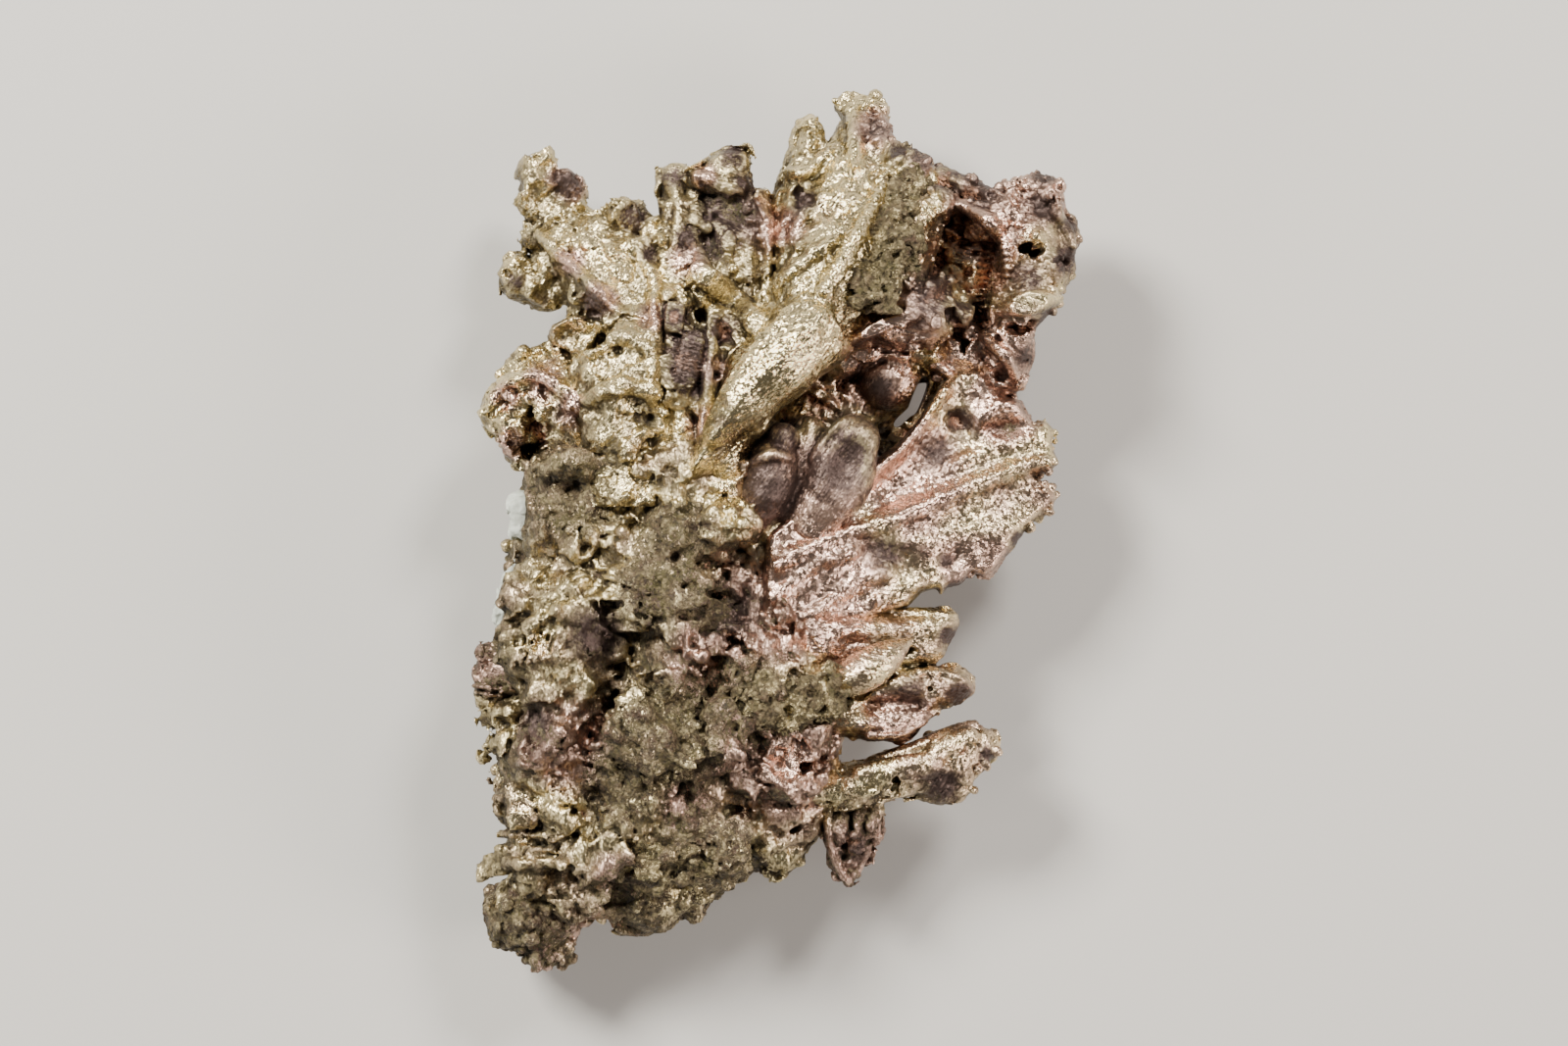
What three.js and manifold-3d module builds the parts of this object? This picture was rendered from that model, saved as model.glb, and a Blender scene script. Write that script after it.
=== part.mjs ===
// A hand specimen of native silver, 63 mm long, lying on its back.
// It is a branching growth of metallic silver, split at its main forks, with two
// pale chips of calcite and three patches of earthy crust on it.
// Units are millimetres. Each limb is laid out from the lower left corner of the
// specimen's face: x across the face, y along it, z up from what it rests on.
// The last step moves the origin to the middle of the underside.

import * as THREE from 'three';
import { mergeVertices } from 'three/addons/utils/BufferGeometryUtils.js';
import Module from 'manifold-3d';

const wasm = await Module();
wasm.setup();

// Driving dimensions
const GAP = 0.3; // between neighbouring pieces
const LIMB_SIDES = 7; // flats round a limb
const BLUNTNESS = 0.55; // how far a limb's end stands past its last station, in half widths
const LUMP_DETAIL = 0; // subdivision of a lump's icosahedron
const CRAG = 0.14; // how far a corner is moved out of true, in half widths
const WELD = 1e-4; // corners nearer than this are one
const FLOOR_SPAN = 200; // the block that trims everything flat at z = 0

// Finishes
const SILVER = { color: 0xb9ab84, roughness: 0.38, metalness: 1 };
const ROSY_SILVER = { color: 0xa98678, roughness: 0.4, metalness: 1 };
const DULL_SILVER = { color: 0x83735a, roughness: 0.6, metalness: 0.7 };
const CALCITE = { color: 0xc3c8bb, roughness: 0.55, metalness: 0 };
const CRUST = { color: 0x6b6642, roughness: 0.9, metalness: 0 };

// A fixed number from -1 to 1 for a corner, so that every run gives the same crags.
function crag(x, y, z, turn) {
  const wave = Math.sin(x * 12.9898 + y * 78.233 + z * 37.719 + turn * 4.1414) * 43758.5453;
  return 2 * (wave - Math.floor(wave)) - 1;
}

// A closed geometry with only its places, each shared by the faces that meet there.
function welded(geometry) {
  geometry.deleteAttribute('normal');
  geometry.deleteAttribute('uv');
  return mergeVertices(geometry, WELD);
}

function toSolid(geometry) {
  return new wasm.Manifold(new wasm.Mesh({
    numProp: 3,
    vertProperties: new Float32Array(geometry.attributes.position.array),
    triVerts: new Uint32Array(geometry.index.array),
  }));
}

// A limb runs through stations [x, y, z, half width, half depth]. It is a sphere
// whose rings are carried along a smooth curve through the stations, with its two
// poles as blunt ends.
function limb(stations, grow) {
  const route = new THREE.CatmullRomCurve3(stations.map(([x, y, z]) => new THREE.Vector3(x, y, z)));
  const sizes = new THREE.CatmullRomCurve3(
    stations.map(([, , , wide, deep]) => new THREE.Vector3(wide, deep, 0)),
  );
  const rings = 2 * stations.length - 1;
  const geometry = welded(new THREE.SphereGeometry(1, LIMB_SIDES, rings + 1));
  const corners = geometry.attributes.position;
  const [x, y, z] = stations[0];
  const up = new THREE.Vector3(0, 0, 1);
  for (let i = 0; i < corners.count; i += 1) {
    const ball = new THREE.Vector3().fromBufferAttribute(corners, i);
    const ring = Math.round((Math.acos(THREE.MathUtils.clamp(ball.y, -1, 1)) / Math.PI) * (rings + 1));
    const along = THREE.MathUtils.clamp((ring - 1) / (rings - 1), 0, 1);
    const centre = route.getPoint(along);
    const way = route.getTangent(along);
    const half = sizes.getPoint(along);
    const side = new THREE.Vector3().crossVectors(way, up).normalize();
    const out = new THREE.Vector3().crossVectors(way, side);
    const reach = Math.hypot(ball.x, ball.z);
    if (reach < WELD) {
      centre.addScaledVector(way, Math.sign(along - 0.5) * (BLUNTNESS * half.x + grow));
    } else {
      const rough = 1 + CRAG * crag(ball.x + x, ball.y + y, ball.z + z, ring);
      centre.addScaledVector(side, (ball.x / reach) * (half.x * rough + grow));
      centre.addScaledVector(out, (ball.z / reach) * (half.y * rough + grow));
    }
    corners.setXYZ(i, centre.x, centre.y, centre.z);
  }
  return toSolid(geometry);
}

// A lump is a craggy icosahedron [x, y, z, half width, half length, half depth].
function lump([x, y, z, wide, long, deep], grow) {
  const geometry = welded(new THREE.IcosahedronGeometry(1, LUMP_DETAIL));
  geometry.rotateX(x);
  geometry.rotateY(y);
  geometry.rotateZ(z);
  const corners = geometry.attributes.position;
  for (let i = 0; i < corners.count; i += 1) {
    const ball = new THREE.Vector3().fromBufferAttribute(corners, i);
    const rough = 1.1 + CRAG * crag(ball.x, ball.y, ball.z, 0);
    corners.setXYZ(
      i,
      x + ball.x * (wide * rough + grow),
      y + ball.y * (long * rough + grow),
      z + ball.z * (deep * rough + grow),
    );
  }
  return toSolid(geometry);
}

// A shape of limbs and lumps, made larger all round by grow.
function growth({ limbs = [], lumps = [] }, grow = 0) {
  const solids = [
    ...limbs.map((stations) => limb(stations, grow)),
    ...lumps.map((size) => lump(size, grow)),
  ];
  return solids.reduce((whole, solid) => whole.add(solid));
}

// The thick lower mass: three columns side by side and the edge along its base.
const trunk = {
  limbs: [
    [
      [6.4, 8, 6, 3.8, 5.6], [5.8, 13.5, 7, 4, 6.8], [6.2, 21, 7.4, 4.4, 8.2],
      [7.4, 28, 7.6, 4.7, 8.4], [8.6, 34, 8.4, 4.8, 7.4],
    ],
    [
      [12, 8, 5.4, 4.8, 6], [13.5, 13, 7, 6.5, 8.4], [14.6, 20, 8.4, 6.8, 9.8],
      [14.2, 27, 8.4, 6, 9.6], [14, 34, 8.2, 5.4, 8],
    ],
    [
      [19, 10.8, 5.6, 3.4, 5.6], [21.6, 14.6, 6.6, 3.9, 7.2], [22, 20, 7.6, 4, 8.2],
      [19, 25.5, 8, 3.6, 8], [17.4, 31, 8.2, 3.2, 7],
    ],
    [[7.5, 6, 5.2, 2.3, 4.2], [14.5, 6.8, 5.2, 2.9, 4.8], [22.4, 10.9, 5.6, 2.3, 4.2]],
  ],
  lumps: [
    [5, 23.4, 13.6, 2.6, 2, 2.4],
    [3.6, 12, 11.6, 1.8, 2.4, 2],
    [10, 14.5, 14, 4, 3, 2.6],
    [13.6, 27, 16.6, 3.6, 2.6, 2.2],
    [9, 31.5, 14.4, 3.8, 2.2, 2],
    [17.5, 12.4, 13, 3.2, 2.8, 2.2],
    [21.8, 21.4, 14.2, 3, 2, 2.4],
  ],
};
const trunkHollows = {
  limbs: [
    [[8.2, 16.6, 16, 0.9, 3], [10.3, 21.6, 17, 0.9, 3.4]],
    [[20, 16.2, 15.5, 1.3, 3.4], [24, 16.8, 15, 1.6, 4], [28.5, 17.4, 14, 1.4, 3.4]],
  ],
  lumps: [[17.3, 21.6, 18.4, 1.7, 1.7, 2.4]],
};

// The pebbly lump at the lower left corner.
const baseBlock = {
  lumps: [
    [4.3, 4.2, 5.6, 3.3, 3, 4.6],
    [2.4, 3.8, 6, 2, 2.2, 3.2],
    [4.7, 1.6, 5.6, 1.9, 1.6, 2.6],
    [7, 5.2, 5, 2, 2, 3],
  ],
};

// The short blunt stub on the left edge, like a broken pipe.
const leftStub = {
  limbs: [[[3.6, 21.6, 11, 1.8, 2.2], [2.2, 21.6, 10.8, 1.7, 2], [1, 21.7, 10.6, 1.5, 1.8]]],
  lumps: [[1.4, 23.1, 10.6, 1.3, 1, 1.4], [1.5, 19.6, 10.2, 1.2, 1.1, 1.3]],
};

// The lobe on the left, with a hollow under its ridge.
const leftLobe = {
  limbs: [
    [[8, 39.6, 10, 3, 4.2], [5.2, 40.8, 10, 3.4, 4], [2.9, 40.6, 9.6, 2.3, 3.2]],
    [[4.8, 40.6, 9.4, 2.2, 3.2], [3.8, 37.6, 8.6, 1.6, 2.4]],
    [[6, 42.8, 10, 2, 2.6], [3.7, 43.2, 9.8, 1.5, 2]],
  ],
  lumps: [[1.9, 40, 9.8, 1.5, 1.7, 1.9]],
};
const leftLobeHollows = {
  limbs: [[[4.9, 36.4, 12.6, 0.9, 1.9], [4.7, 39.6, 12.8, 1, 1.6]]],
};

// The bright plate that rises to the upper left, with its head and two buds.
const upperLeftBranch = {
  limbs: [
    [
      [10.6, 37, 11.2, 4.4, 5.2], [10.7, 42, 11.4, 4.6, 5.4], [10.3, 47.4, 10.2, 3.9, 4.8],
      [9.2, 51, 9, 3.7, 4],
    ],
    [[9.2, 51, 9, 3, 3.4], [6.2, 53.4, 8, 2.3, 3], [5, 55.8, 7.4, 1.8, 2.3], [5, 57.8, 7.2, 1.6, 1.9]],
    [[10, 51, 9, 2, 2.6], [10.6, 54.2, 8.2, 1.1, 1.6]],
    [[8, 49.8, 8.8, 1.9, 2.8], [5, 49.5, 8.4, 1.7, 2.4], [3, 49.7, 8, 1.4, 2]],
    [[9.8, 45.4, 9.5, 1.8, 2.6], [6.2, 46.4, 8.8, 1, 1.6]],
  ],
  lumps: [[10, 43.6, 4.4, 3.8, 4.4, 5.4], [6.4, 57.3, 7.4, 1, 0.9, 1.1]],
};

// Three upright blades in the middle of the top edge, in front of a common sheet.
const middleBlades = {
  limbs: [
    [
      [14.9, 44, 11.4, 2, 3.4], [14.9, 50, 10.8, 1.9, 2.8], [14.5, 54.8, 9.4, 1.5, 2],
      [14.2, 57.8, 8.6, 0.9, 1.2],
    ],
    [
      [17.8, 44, 11.6, 2.4, 3.6], [18, 51, 11.2, 2.4, 3], [18.4, 56, 9.8, 1.9, 2.1],
      [18.8, 58.5, 9, 1.1, 1.3],
    ],
    [[20.4, 46, 12.4, 1.6, 3.2], [20.5, 52, 11.2, 1.5, 2.4], [20.6, 56.5, 9.6, 0.8, 1.2]],
    [[17, 38.6, 9.6, 3.2, 4.6], [17.4, 46, 9.4, 4.2, 3.6], [17.6, 54.2, 8.4, 4, 2]],
  ],
};

// The long bright ridge from the middle of the face up to the highest peak, with
// the broad wing to the left of it and the crest to the right.
const mainSpine = {
  limbs: [
    [
      [16.4, 37, 13.4, 2.2, 4], [19.2, 41, 14.8, 2.7, 4], [22.8, 45.2, 14.6, 3.6, 4.4],
      [25.4, 49.8, 12.6, 4.3, 4.8], [26.7, 54.8, 10.6, 4.4, 4.2], [27.6, 58.8, 9, 3, 3], [28, 61.8, 8, 1.6, 1.9],
    ],
    [[23.4, 50, 11.4, 2.4, 3.2], [23.6, 55.6, 10, 1.8, 2.6], [24.1, 60, 8.6, 1.2, 1.6]],
    [[29.4, 53, 10.6, 2.4, 3.4], [31, 58, 9, 1.2, 1.6]],
  ],
  lumps: [[25, 48.6, 6.4, 4.4, 5, 5]],
};

// The ring of lumps round the deep hollow at the upper right, and its floor.
const rightCrown = {
  limbs: [
    [
      [31.2, 52, 10.5, 1.9, 4], [32.4, 55.6, 10.2, 1.7, 3.2], [36, 54.8, 9.8, 1.7, 3.2],
      [39.6, 54.8, 9.4, 2.7, 3.8], [40.2, 50.6, 9.4, 3, 4.2], [39, 46.6, 9.4, 2.8, 4], [38, 42.8, 9, 2, 2.8],
    ],
    [[27.6, 45, 11.2, 1.7, 2.8], [31.4, 46.8, 11.2, 2.3, 3.6], [36, 45.2, 10.4, 2.4, 3.6]],
    [[37.3, 47.7, 12.9, 1, 1.2], [41.3, 48, 12.3, 1.1, 1.2]],
  ],
  lumps: [[35.4, 50.6, 4, 5.2, 5.4, 5.2]],
};

// Purple-grey lobes that curl out between the spine and the fern, and the dome behind them.
const curledLobes = {
  limbs: [
    [[19.4, 33, 11.5, 2, 3.2], [20.7, 36, 13.2, 1.8, 2.8], [20.8, 38.6, 13.4, 1.3, 2]],
    [[23.6, 33, 11.3, 2.4, 3.2], [26.2, 36, 12.4, 2.4, 2.6], [27.8, 38.6, 12.4, 1.6, 1.7]],
    [[24, 39.6, 8, 3, 3.4], [28.4, 42, 8.4, 2.4, 3.2], [32, 43.2, 8, 1.4, 2.2]],
  ],
  lumps: [[23.5, 37.5, 6.8, 4.6, 4.6, 5]],
};

// The large fern-shaped plate: a midrib sheet, its upper and lower lobes, and the
// web between it and the crown.
const fernPlate = {
  limbs: [
    [
      [20.4, 27, 12, 2.8, 3.6], [25.4, 30.4, 12.2, 3.8, 3.2], [30.5, 33, 11.2, 4.8, 2.5],
      [35.6, 34.6, 9.8, 4.5, 2.1], [39.4, 34.9, 8.6, 3, 1.7], [40.9, 34.7, 8.2, 1.8, 1.3],
    ],
    [
      [28.6, 36.8, 10.6, 2.6, 2.6], [34, 39.2, 9.6, 2.8, 2.3], [38.4, 39.4, 8.6, 2, 1.9],
      [40.6, 38.8, 8, 1, 1.2],
    ],
    [[26.4, 28.8, 11, 2.6, 2.8], [32, 30, 9.8, 2.7, 2.2], [36.8, 30.6, 8.6, 2, 1.6]],
    [[31.4, 38.6, 10, 2, 2.4], [35, 41.2, 9.4, 1.6, 2.2], [37.4, 41.6, 9, 1.2, 1.8]],
  ],
};

// Pointed leaves under the fern, with the raised oval leaf on top of them.
const leafCluster = {
  limbs: [
    [
      [24.6, 24.8, 11.2, 2.2, 2.8], [29.5, 24.4, 10.8, 2.1, 1.9], [32.6, 24.6, 9.8, 1.6, 1.4],
      [34.2, 25.2, 9.2, 0.8, 0.9],
    ],
    [
      [24.6, 21.3, 10.8, 2.4, 3], [30.6, 20.8, 10.4, 2.2, 2], [33.8, 20.5, 9.4, 1.5, 1.4],
      [35.1, 20.6, 8.8, 0.9, 0.9],
    ],
    [[25, 20.2, 13.4, 1.3, 1.6], [28.3, 22, 13.8, 1.6, 1.6], [31, 23.8, 12.6, 0.6, 0.9]],
    [[26.6, 17.2, 10.4, 1.3, 2], [30.4, 18, 10.2, 1.1, 1.6], [33, 19, 9.6, 0.6, 1]],
  ],
  lumps: [[26.6, 22.6, 8.8, 4, 4.2, 3.6]],
};

// The blunt finger at the lower right.
const finger = {
  limbs: [[[24.8, 13.2, 8.8, 2, 3.2], [30, 14, 9.6, 1.9, 2.4], [33.6, 15, 9.4, 1.9, 2.1], [36.3, 16.2, 9, 1.6, 1.8]]],
  lumps: [[34.2, 13.5, 8.8, 1.9, 1.5, 1.8]],
};

// The pointed wedge that hangs under the finger.
const foot = {
  limbs: [[[26.2, 12.4, 7.8, 2.2, 3.2], [27, 9.6, 7.4, 1.9, 2.4], [26.9, 7.3, 7, 1, 1.4]]],
};

// The pale chip and the thin pale rind on the left edge.
const calciteChip = { lumps: [[3.4, 32.8, 10, 1, 1.7, 1.5]] };
const calciteRind = {
  limbs: [[[1.8, 25, 9.2, 0.6, 1.4], [2.1, 27, 9.4, 0.8, 1.6], [2.7, 29, 9.2, 0.7, 1.3]]],
};

// Three patches of earthy crust, thin cakes that sit on the silver.
const crustSpine = {
  limbs: [[[28.4, 49.2, 15.8, 1.6, 1.8], [29.8, 52.6, 14.2, 1.8, 1.9], [30.6, 56, 12, 1.4, 1.5]]],
};
const crustLedge = {
  limbs: [[[19.6, 19.4, 16.4, 1.5, 1.6], [22.6, 19.8, 16.4, 2, 1.9], [25.2, 20.2, 15, 1.4, 1.5]]],
};
const crustSide = {
  limbs: [[[11.4, 9.2, 12, 2, 1.9], [14.6, 9.4, 12.4, 2.4, 2], [17.8, 10.4, 12.4, 1.8, 1.8]]],
};

// Each piece is cut clear of those above it in this list.
const PIECES = [
  { name: 'trunk', finish: DULL_SILVER, shape: trunk, hollows: trunkHollows },
  { name: 'main_spine', finish: SILVER, shape: mainSpine },
  { name: 'upper_left_branch', finish: SILVER, shape: upperLeftBranch },
  { name: 'fern_plate', finish: ROSY_SILVER, shape: fernPlate },
  { name: 'right_crown', finish: ROSY_SILVER, shape: rightCrown },
  { name: 'curled_lobes', finish: ROSY_SILVER, shape: curledLobes },
  { name: 'middle_blades', finish: SILVER, shape: middleBlades },
  { name: 'left_lobe', finish: SILVER, shape: leftLobe, hollows: leftLobeHollows },
  { name: 'leaf_cluster', finish: ROSY_SILVER, shape: leafCluster },
  { name: 'finger', finish: ROSY_SILVER, shape: finger },
  { name: 'foot', finish: DULL_SILVER, shape: foot },
  { name: 'base_block', finish: DULL_SILVER, shape: baseBlock },
  { name: 'left_stub', finish: ROSY_SILVER, shape: leftStub },
  { name: 'calcite_chip', finish: CALCITE, shape: calciteChip },
  { name: 'calcite_rind', finish: CALCITE, shape: calciteRind },
  { name: 'crust_spine', finish: CRUST, shape: crustSpine },
  { name: 'crust_ledge', finish: CRUST, shape: crustLedge },
  { name: 'crust_side', finish: CRUST, shape: crustSide },
];

// The largest connected body of a cut solid, without the crumbs that a cut can leave.
function largestBody(solid) {
  const mesh = solid.getMesh();
  const corners = mesh.triVerts;
  const leader = Array.from({ length: mesh.vertProperties.length / mesh.numProp }, (_, i) => i);
  const find = (i) => {
    while (leader[i] !== i) {
      leader[i] = leader[leader[i]];
      i = leader[i];
    }
    return i;
  };
  for (let t = 0; t < corners.length; t += 3) {
    leader[find(corners[t + 1])] = find(corners[t]);
    leader[find(corners[t + 2])] = find(corners[t]);
  }
  const bodies = new Map();
  for (let t = 0; t < corners.length; t += 3) {
    const key = find(corners[t]);
    bodies.set(key, [...(bodies.get(key) ?? []), ...corners.slice(t, t + 3)]);
  }
  const [largest] = [...bodies.values()].sort((a, b) => b.length - a.length);
  const geometry = new THREE.BufferGeometry();
  geometry.setAttribute('position', new THREE.BufferAttribute(mesh.vertProperties, 3));
  geometry.setIndex(largest);
  return geometry;
}

const floor = toSolid(
  welded(new THREE.BoxGeometry(FLOOR_SPAN, FLOOR_SPAN, FLOOR_SPAN).translate(0, 0, FLOOR_SPAN / 2)),
);

const specimen = new THREE.Group();
specimen.name = 'native_silver';
const laid = [];
for (const { name, finish, shape, hollows } of PIECES) {
  let solid = growth(shape).intersect(floor);
  for (const neighbour of laid) {
    solid = solid.subtract(neighbour);
  }
  if (hollows) {
    solid = solid.subtract(growth(hollows));
  }
  const geometry = largestBody(solid);
  geometry.computeVertexNormals();
  const piece = new THREE.Mesh(geometry, new THREE.MeshStandardMaterial({ ...finish, flatShading: true }));
  piece.name = name;
  specimen.add(piece);
  laid.push(growth(shape, GAP));
}

const box = new THREE.Box3().setFromObject(specimen);
const middle = box.getCenter(new THREE.Vector3());
specimen.position.set(-middle.x, -middle.y, -box.min.z);

export default specimen;
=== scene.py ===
"""A hand specimen of native silver, lying on its back on a pale floor."""

import math

import bpy
import numpy as np
from mathutils import Euler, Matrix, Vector


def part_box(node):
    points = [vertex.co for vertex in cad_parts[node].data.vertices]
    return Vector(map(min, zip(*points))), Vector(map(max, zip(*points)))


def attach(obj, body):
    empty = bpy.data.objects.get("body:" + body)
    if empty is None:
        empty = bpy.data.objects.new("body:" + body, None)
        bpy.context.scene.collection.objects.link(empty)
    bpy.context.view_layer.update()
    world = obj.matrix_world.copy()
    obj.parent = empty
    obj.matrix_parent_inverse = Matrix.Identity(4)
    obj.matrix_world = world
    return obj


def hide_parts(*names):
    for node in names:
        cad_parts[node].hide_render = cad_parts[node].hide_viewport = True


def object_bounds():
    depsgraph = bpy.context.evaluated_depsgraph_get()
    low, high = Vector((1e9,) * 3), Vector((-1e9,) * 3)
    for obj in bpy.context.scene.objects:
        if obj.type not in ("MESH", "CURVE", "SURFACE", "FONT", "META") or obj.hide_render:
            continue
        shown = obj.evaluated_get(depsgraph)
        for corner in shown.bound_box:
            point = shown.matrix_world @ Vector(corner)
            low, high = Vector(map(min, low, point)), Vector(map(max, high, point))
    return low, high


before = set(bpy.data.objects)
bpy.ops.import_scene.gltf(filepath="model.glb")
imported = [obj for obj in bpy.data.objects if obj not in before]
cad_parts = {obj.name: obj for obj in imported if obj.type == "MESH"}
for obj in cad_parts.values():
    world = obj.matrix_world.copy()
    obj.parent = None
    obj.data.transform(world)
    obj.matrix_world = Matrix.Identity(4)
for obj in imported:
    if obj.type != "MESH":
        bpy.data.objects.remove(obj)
cad_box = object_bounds()

# ---- Camera, floor and lights ----
# The specimen lies face up, so the camera hangs over it and looks straight down, with the
# length of the specimen upright in the picture. It is placed first, and nothing else moves it.

MM = 0.001  # the sizes below are in millimetres
PICTURE_WIDTH = 112.0  # how much floor the picture takes in
LENS = 105.0
SENSOR = 36.0
NEAREST, FARTHEST = 0.01, 20.0  # what the camera can see, in metres
FACE_HEIGHT = 11.0  # the level of the face, where the picture's width is measured
ASIDE = (0.5, 1.0)  # how far the camera stands from the middle of the specimen

low, high = (np.array(corner) / MM for corner in cad_box)
middle = (low + high) / 2
distance = PICTURE_WIDTH * LENS / SENSOR
eye = bpy.data.objects.new("camera", bpy.data.cameras.new("camera"))
eye.data.lens = LENS
eye.data.sensor_width = SENSOR
eye.data.clip_start = NEAREST
eye.data.clip_end = FARTHEST
eye.location = Vector((middle[0] + ASIDE[0], middle[1] + ASIDE[1], FACE_HEIGHT + distance)) * MM
bpy.context.scene.collection.objects.link(eye)
bpy.context.scene.camera = eye


class Wire:
    """An output socket of a node tree. Sums on it add Math nodes, and node() adds any other."""

    def __init__(self, tree, socket=None):
        self.tree = tree
        self.socket = socket

    def node(self, kind, settings=None, inputs=None, out=0):
        made = self.tree.nodes.new(kind)
        for name, value in (settings or {}).items():
            if name == "stops":
                while len(made.color_ramp.elements) < len(value):
                    made.color_ramp.elements.new(0.5)
                for element, (place, colour) in zip(made.color_ramp.elements, value):
                    element.position = place
                    element.color = (*colour, 1)
            else:
                setattr(made, name, value)
        for name, value in (inputs or {}).items():
            if isinstance(value, Wire):
                self.tree.links.new(value.socket, made.inputs[name])
            else:
                made.inputs[name].default_value = value
        return Wire(self.tree, made.outputs[out] if len(made.outputs) else None)

    def other(self, out):
        """Another output of the same node."""
        return Wire(self.tree, self.socket.node.outputs[out])

    def vector(self, operation, *values):
        return self.node("ShaderNodeVectorMath", {"operation": operation}, dict(enumerate(values)))

    def maths(self, operation, *values):
        return self.node("ShaderNodeMath", {"operation": operation}, dict(enumerate(values)))

    def scaled(self, factor):
        """A vector times a number."""
        return self.node("ShaderNodeVectorMath", {"operation": "SCALE"}, {0: self, "Scale": factor})

    def __add__(self, other):
        return self.maths("ADD", self, other)

    def __sub__(self, other):
        return self.maths("SUBTRACT", self, other)

    def __rsub__(self, other):
        return self.maths("SUBTRACT", other, self)

    def __mul__(self, other):
        return self.maths("MULTIPLY", self, other)

    def between(self, low, high):
        """0 at low, 1 at high, and straight in between."""
        inputs = {"Value": self, "From Min": low, "From Max": high}
        return self.node("ShaderNodeMapRange", {"clamp": True}, inputs)

    def mix(self, first, second):
        """Colours blended by this factor."""
        inputs = {"Factor": self, 6: first, 7: second}
        return self.node("ShaderNodeMix", {"data_type": "RGBA"}, inputs, out=2)


materials = {}  # every finish made here, by the name of its slot


def new_material(name):
    """Starts a node material. Returns the wire that its nodes are made from, and its shader."""
    material = bpy.data.materials.new(name)
    material.use_nodes = True
    material.node_tree.nodes.clear()
    materials[name] = material
    start = Wire(material.node_tree)
    shader = start.node("ShaderNodeBsdfPrincipled")
    start.node("ShaderNodeOutputMaterial", inputs={"Surface": shader})
    return start, shader.socket.node


def feed(wire, shader, socket):
    wire.tree.links.new(wire.socket, shader.inputs[socket])


FLOOR_SPAN = 3.0  # metres
FLOOR_COLOUR = (0.62, 0.61, 0.59)
FLOOR_ROUGHNESS = 0.7
CLOUD_SCALE = 9.0
CLOUD_PALER = 1.04  # how much paler the faint clouds on the floor are

start, shader = new_material("pale_floor")
shader.inputs["Roughness"].default_value = FLOOR_ROUGHNESS
spot = start.node("ShaderNodeTexCoord", out=3)
inputs = {"Vector": spot, "Scale": CLOUD_SCALE, "Detail": 3.0}
cloud = start.node("ShaderNodeTexNoise", inputs=inputs)
paler = [value * CLOUD_PALER for value in FLOOR_COLOUR]
feed(cloud.mix((*FLOOR_COLOUR, 1), (*paler, 1)), shader, "Base Color")
floor_mesh = bpy.data.meshes.new("floor")
half = FLOOR_SPAN / 2
corners = [(-half, -half, 0), (half, -half, 0), (half, half, 0), (-half, half, 0)]
floor_mesh.from_pydata(corners, [], [(0, 1, 2, 3)])
floor_mesh.materials.append(materials["pale_floor"])
floor = bpy.data.objects.new("floor", floor_mesh)
bpy.context.scene.collection.objects.link(floor)

# [name, place in metres from the specimen, side of the square lamp, watts, colour]
LAMPS = [
    ("key", (-0.30, 0.28, 0.42), 0.16, 5.8, (1.0, 0.96, 0.87)),
    ("second", (0.20, 0.34, 0.40), 0.12, 2.6, (1.0, 0.95, 0.88)),
    ("fill", (0.46, -0.14, 0.26), 0.20, 2.0, (1.0, 0.88, 0.80)),
    ("low", (-0.42, -0.26, 0.22), 0.20, 0.9, (1.0, 0.95, 0.88)),
]
SKY_COLOUR = (0.56, 0.55, 0.53)
SKY_STRENGTH = 0.19

for name, place, side, watts, colour in LAMPS:
    lamp = bpy.data.objects.new(name, bpy.data.lights.new(name, "AREA"))
    lamp.data.size = side
    lamp.data.energy = watts
    lamp.data.color = colour
    lamp.location = place
    lamp.rotation_euler = (-Vector(place)).to_track_quat("-Z", "Y").to_euler()
    bpy.context.scene.collection.objects.link(lamp)
world = bpy.data.worlds.new("studio")
world.use_nodes = True
sky = world.node_tree.nodes["Background"]
sky.inputs["Color"].default_value = (*SKY_COLOUR, 1)
sky.inputs["Strength"].default_value = SKY_STRENGTH
bpy.context.scene.world = world

# ---- The trunk ----
# The thick lower mass of silver: columns grown together, pitted and cracked and mostly under
# an earthy film. Like every limb it is a field of distances on a fine grid, with limbs run
# through stations [x, y, z, half width, half depth], ridges laid on and hollows cut out.

CORNER = np.array(cad_box[0]) / MM  # the sizes below are measured from this corner of the box
MARGIN = 1.4  # how far a grid reaches past its solid
FAR = 6.0  # the distance that stands for empty space
UP = np.array((0.0, 0.0, 1.0))
NEARLY_UP = 0.95  # a limb that climbs more steeply than this takes its sides from the x axis
THINNEST = 0.7  # a station added between others is never thinner than this share of the thinnest
CUBE = [np.array((i, j, k)) for i in (0, 1) for j in (0, 1) for k in (0, 1)]
TABLE_SIDE = 32  # chance values repeat after this many cells
BUMP_GAIN = 1.5  # brings blended chance values back to about -1 to 1
SHIFT = 0.45  # how far the middle of a ragged cell wanders
FRAY = 0.38  # how far the walls of a cut wander
FRAY_SIZE = 0.75
SMOOTH = 0.45  # a cut with a fillet of this size or more keeps smooth walls
ABOVE = 99  # higher than any piece
THIN_RIM = 0.04  # how thin a plate's rim gets, as a share of its thickness, squared
CUT_CORNERS = 0.66  # how far a cube crystal's corners are cut towards an octahedron
LATTICE = (0.3, 0.5, 0.2)  # how the crystals of the whole growth are turned
SINK = 0.35  # how deep crystals sit in the skin, as a share of their size
CRYSTAL_SIZES = (0.45, 1.3)  # how small and how large crystals come, as shares of their size
CRYSTAL_SIDES = (0.8, 1.25)  # and the same for the sides of one crystal
ON_SKIN = 0.6  # crystals are set on grid points within this share of a step from the skin
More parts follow.
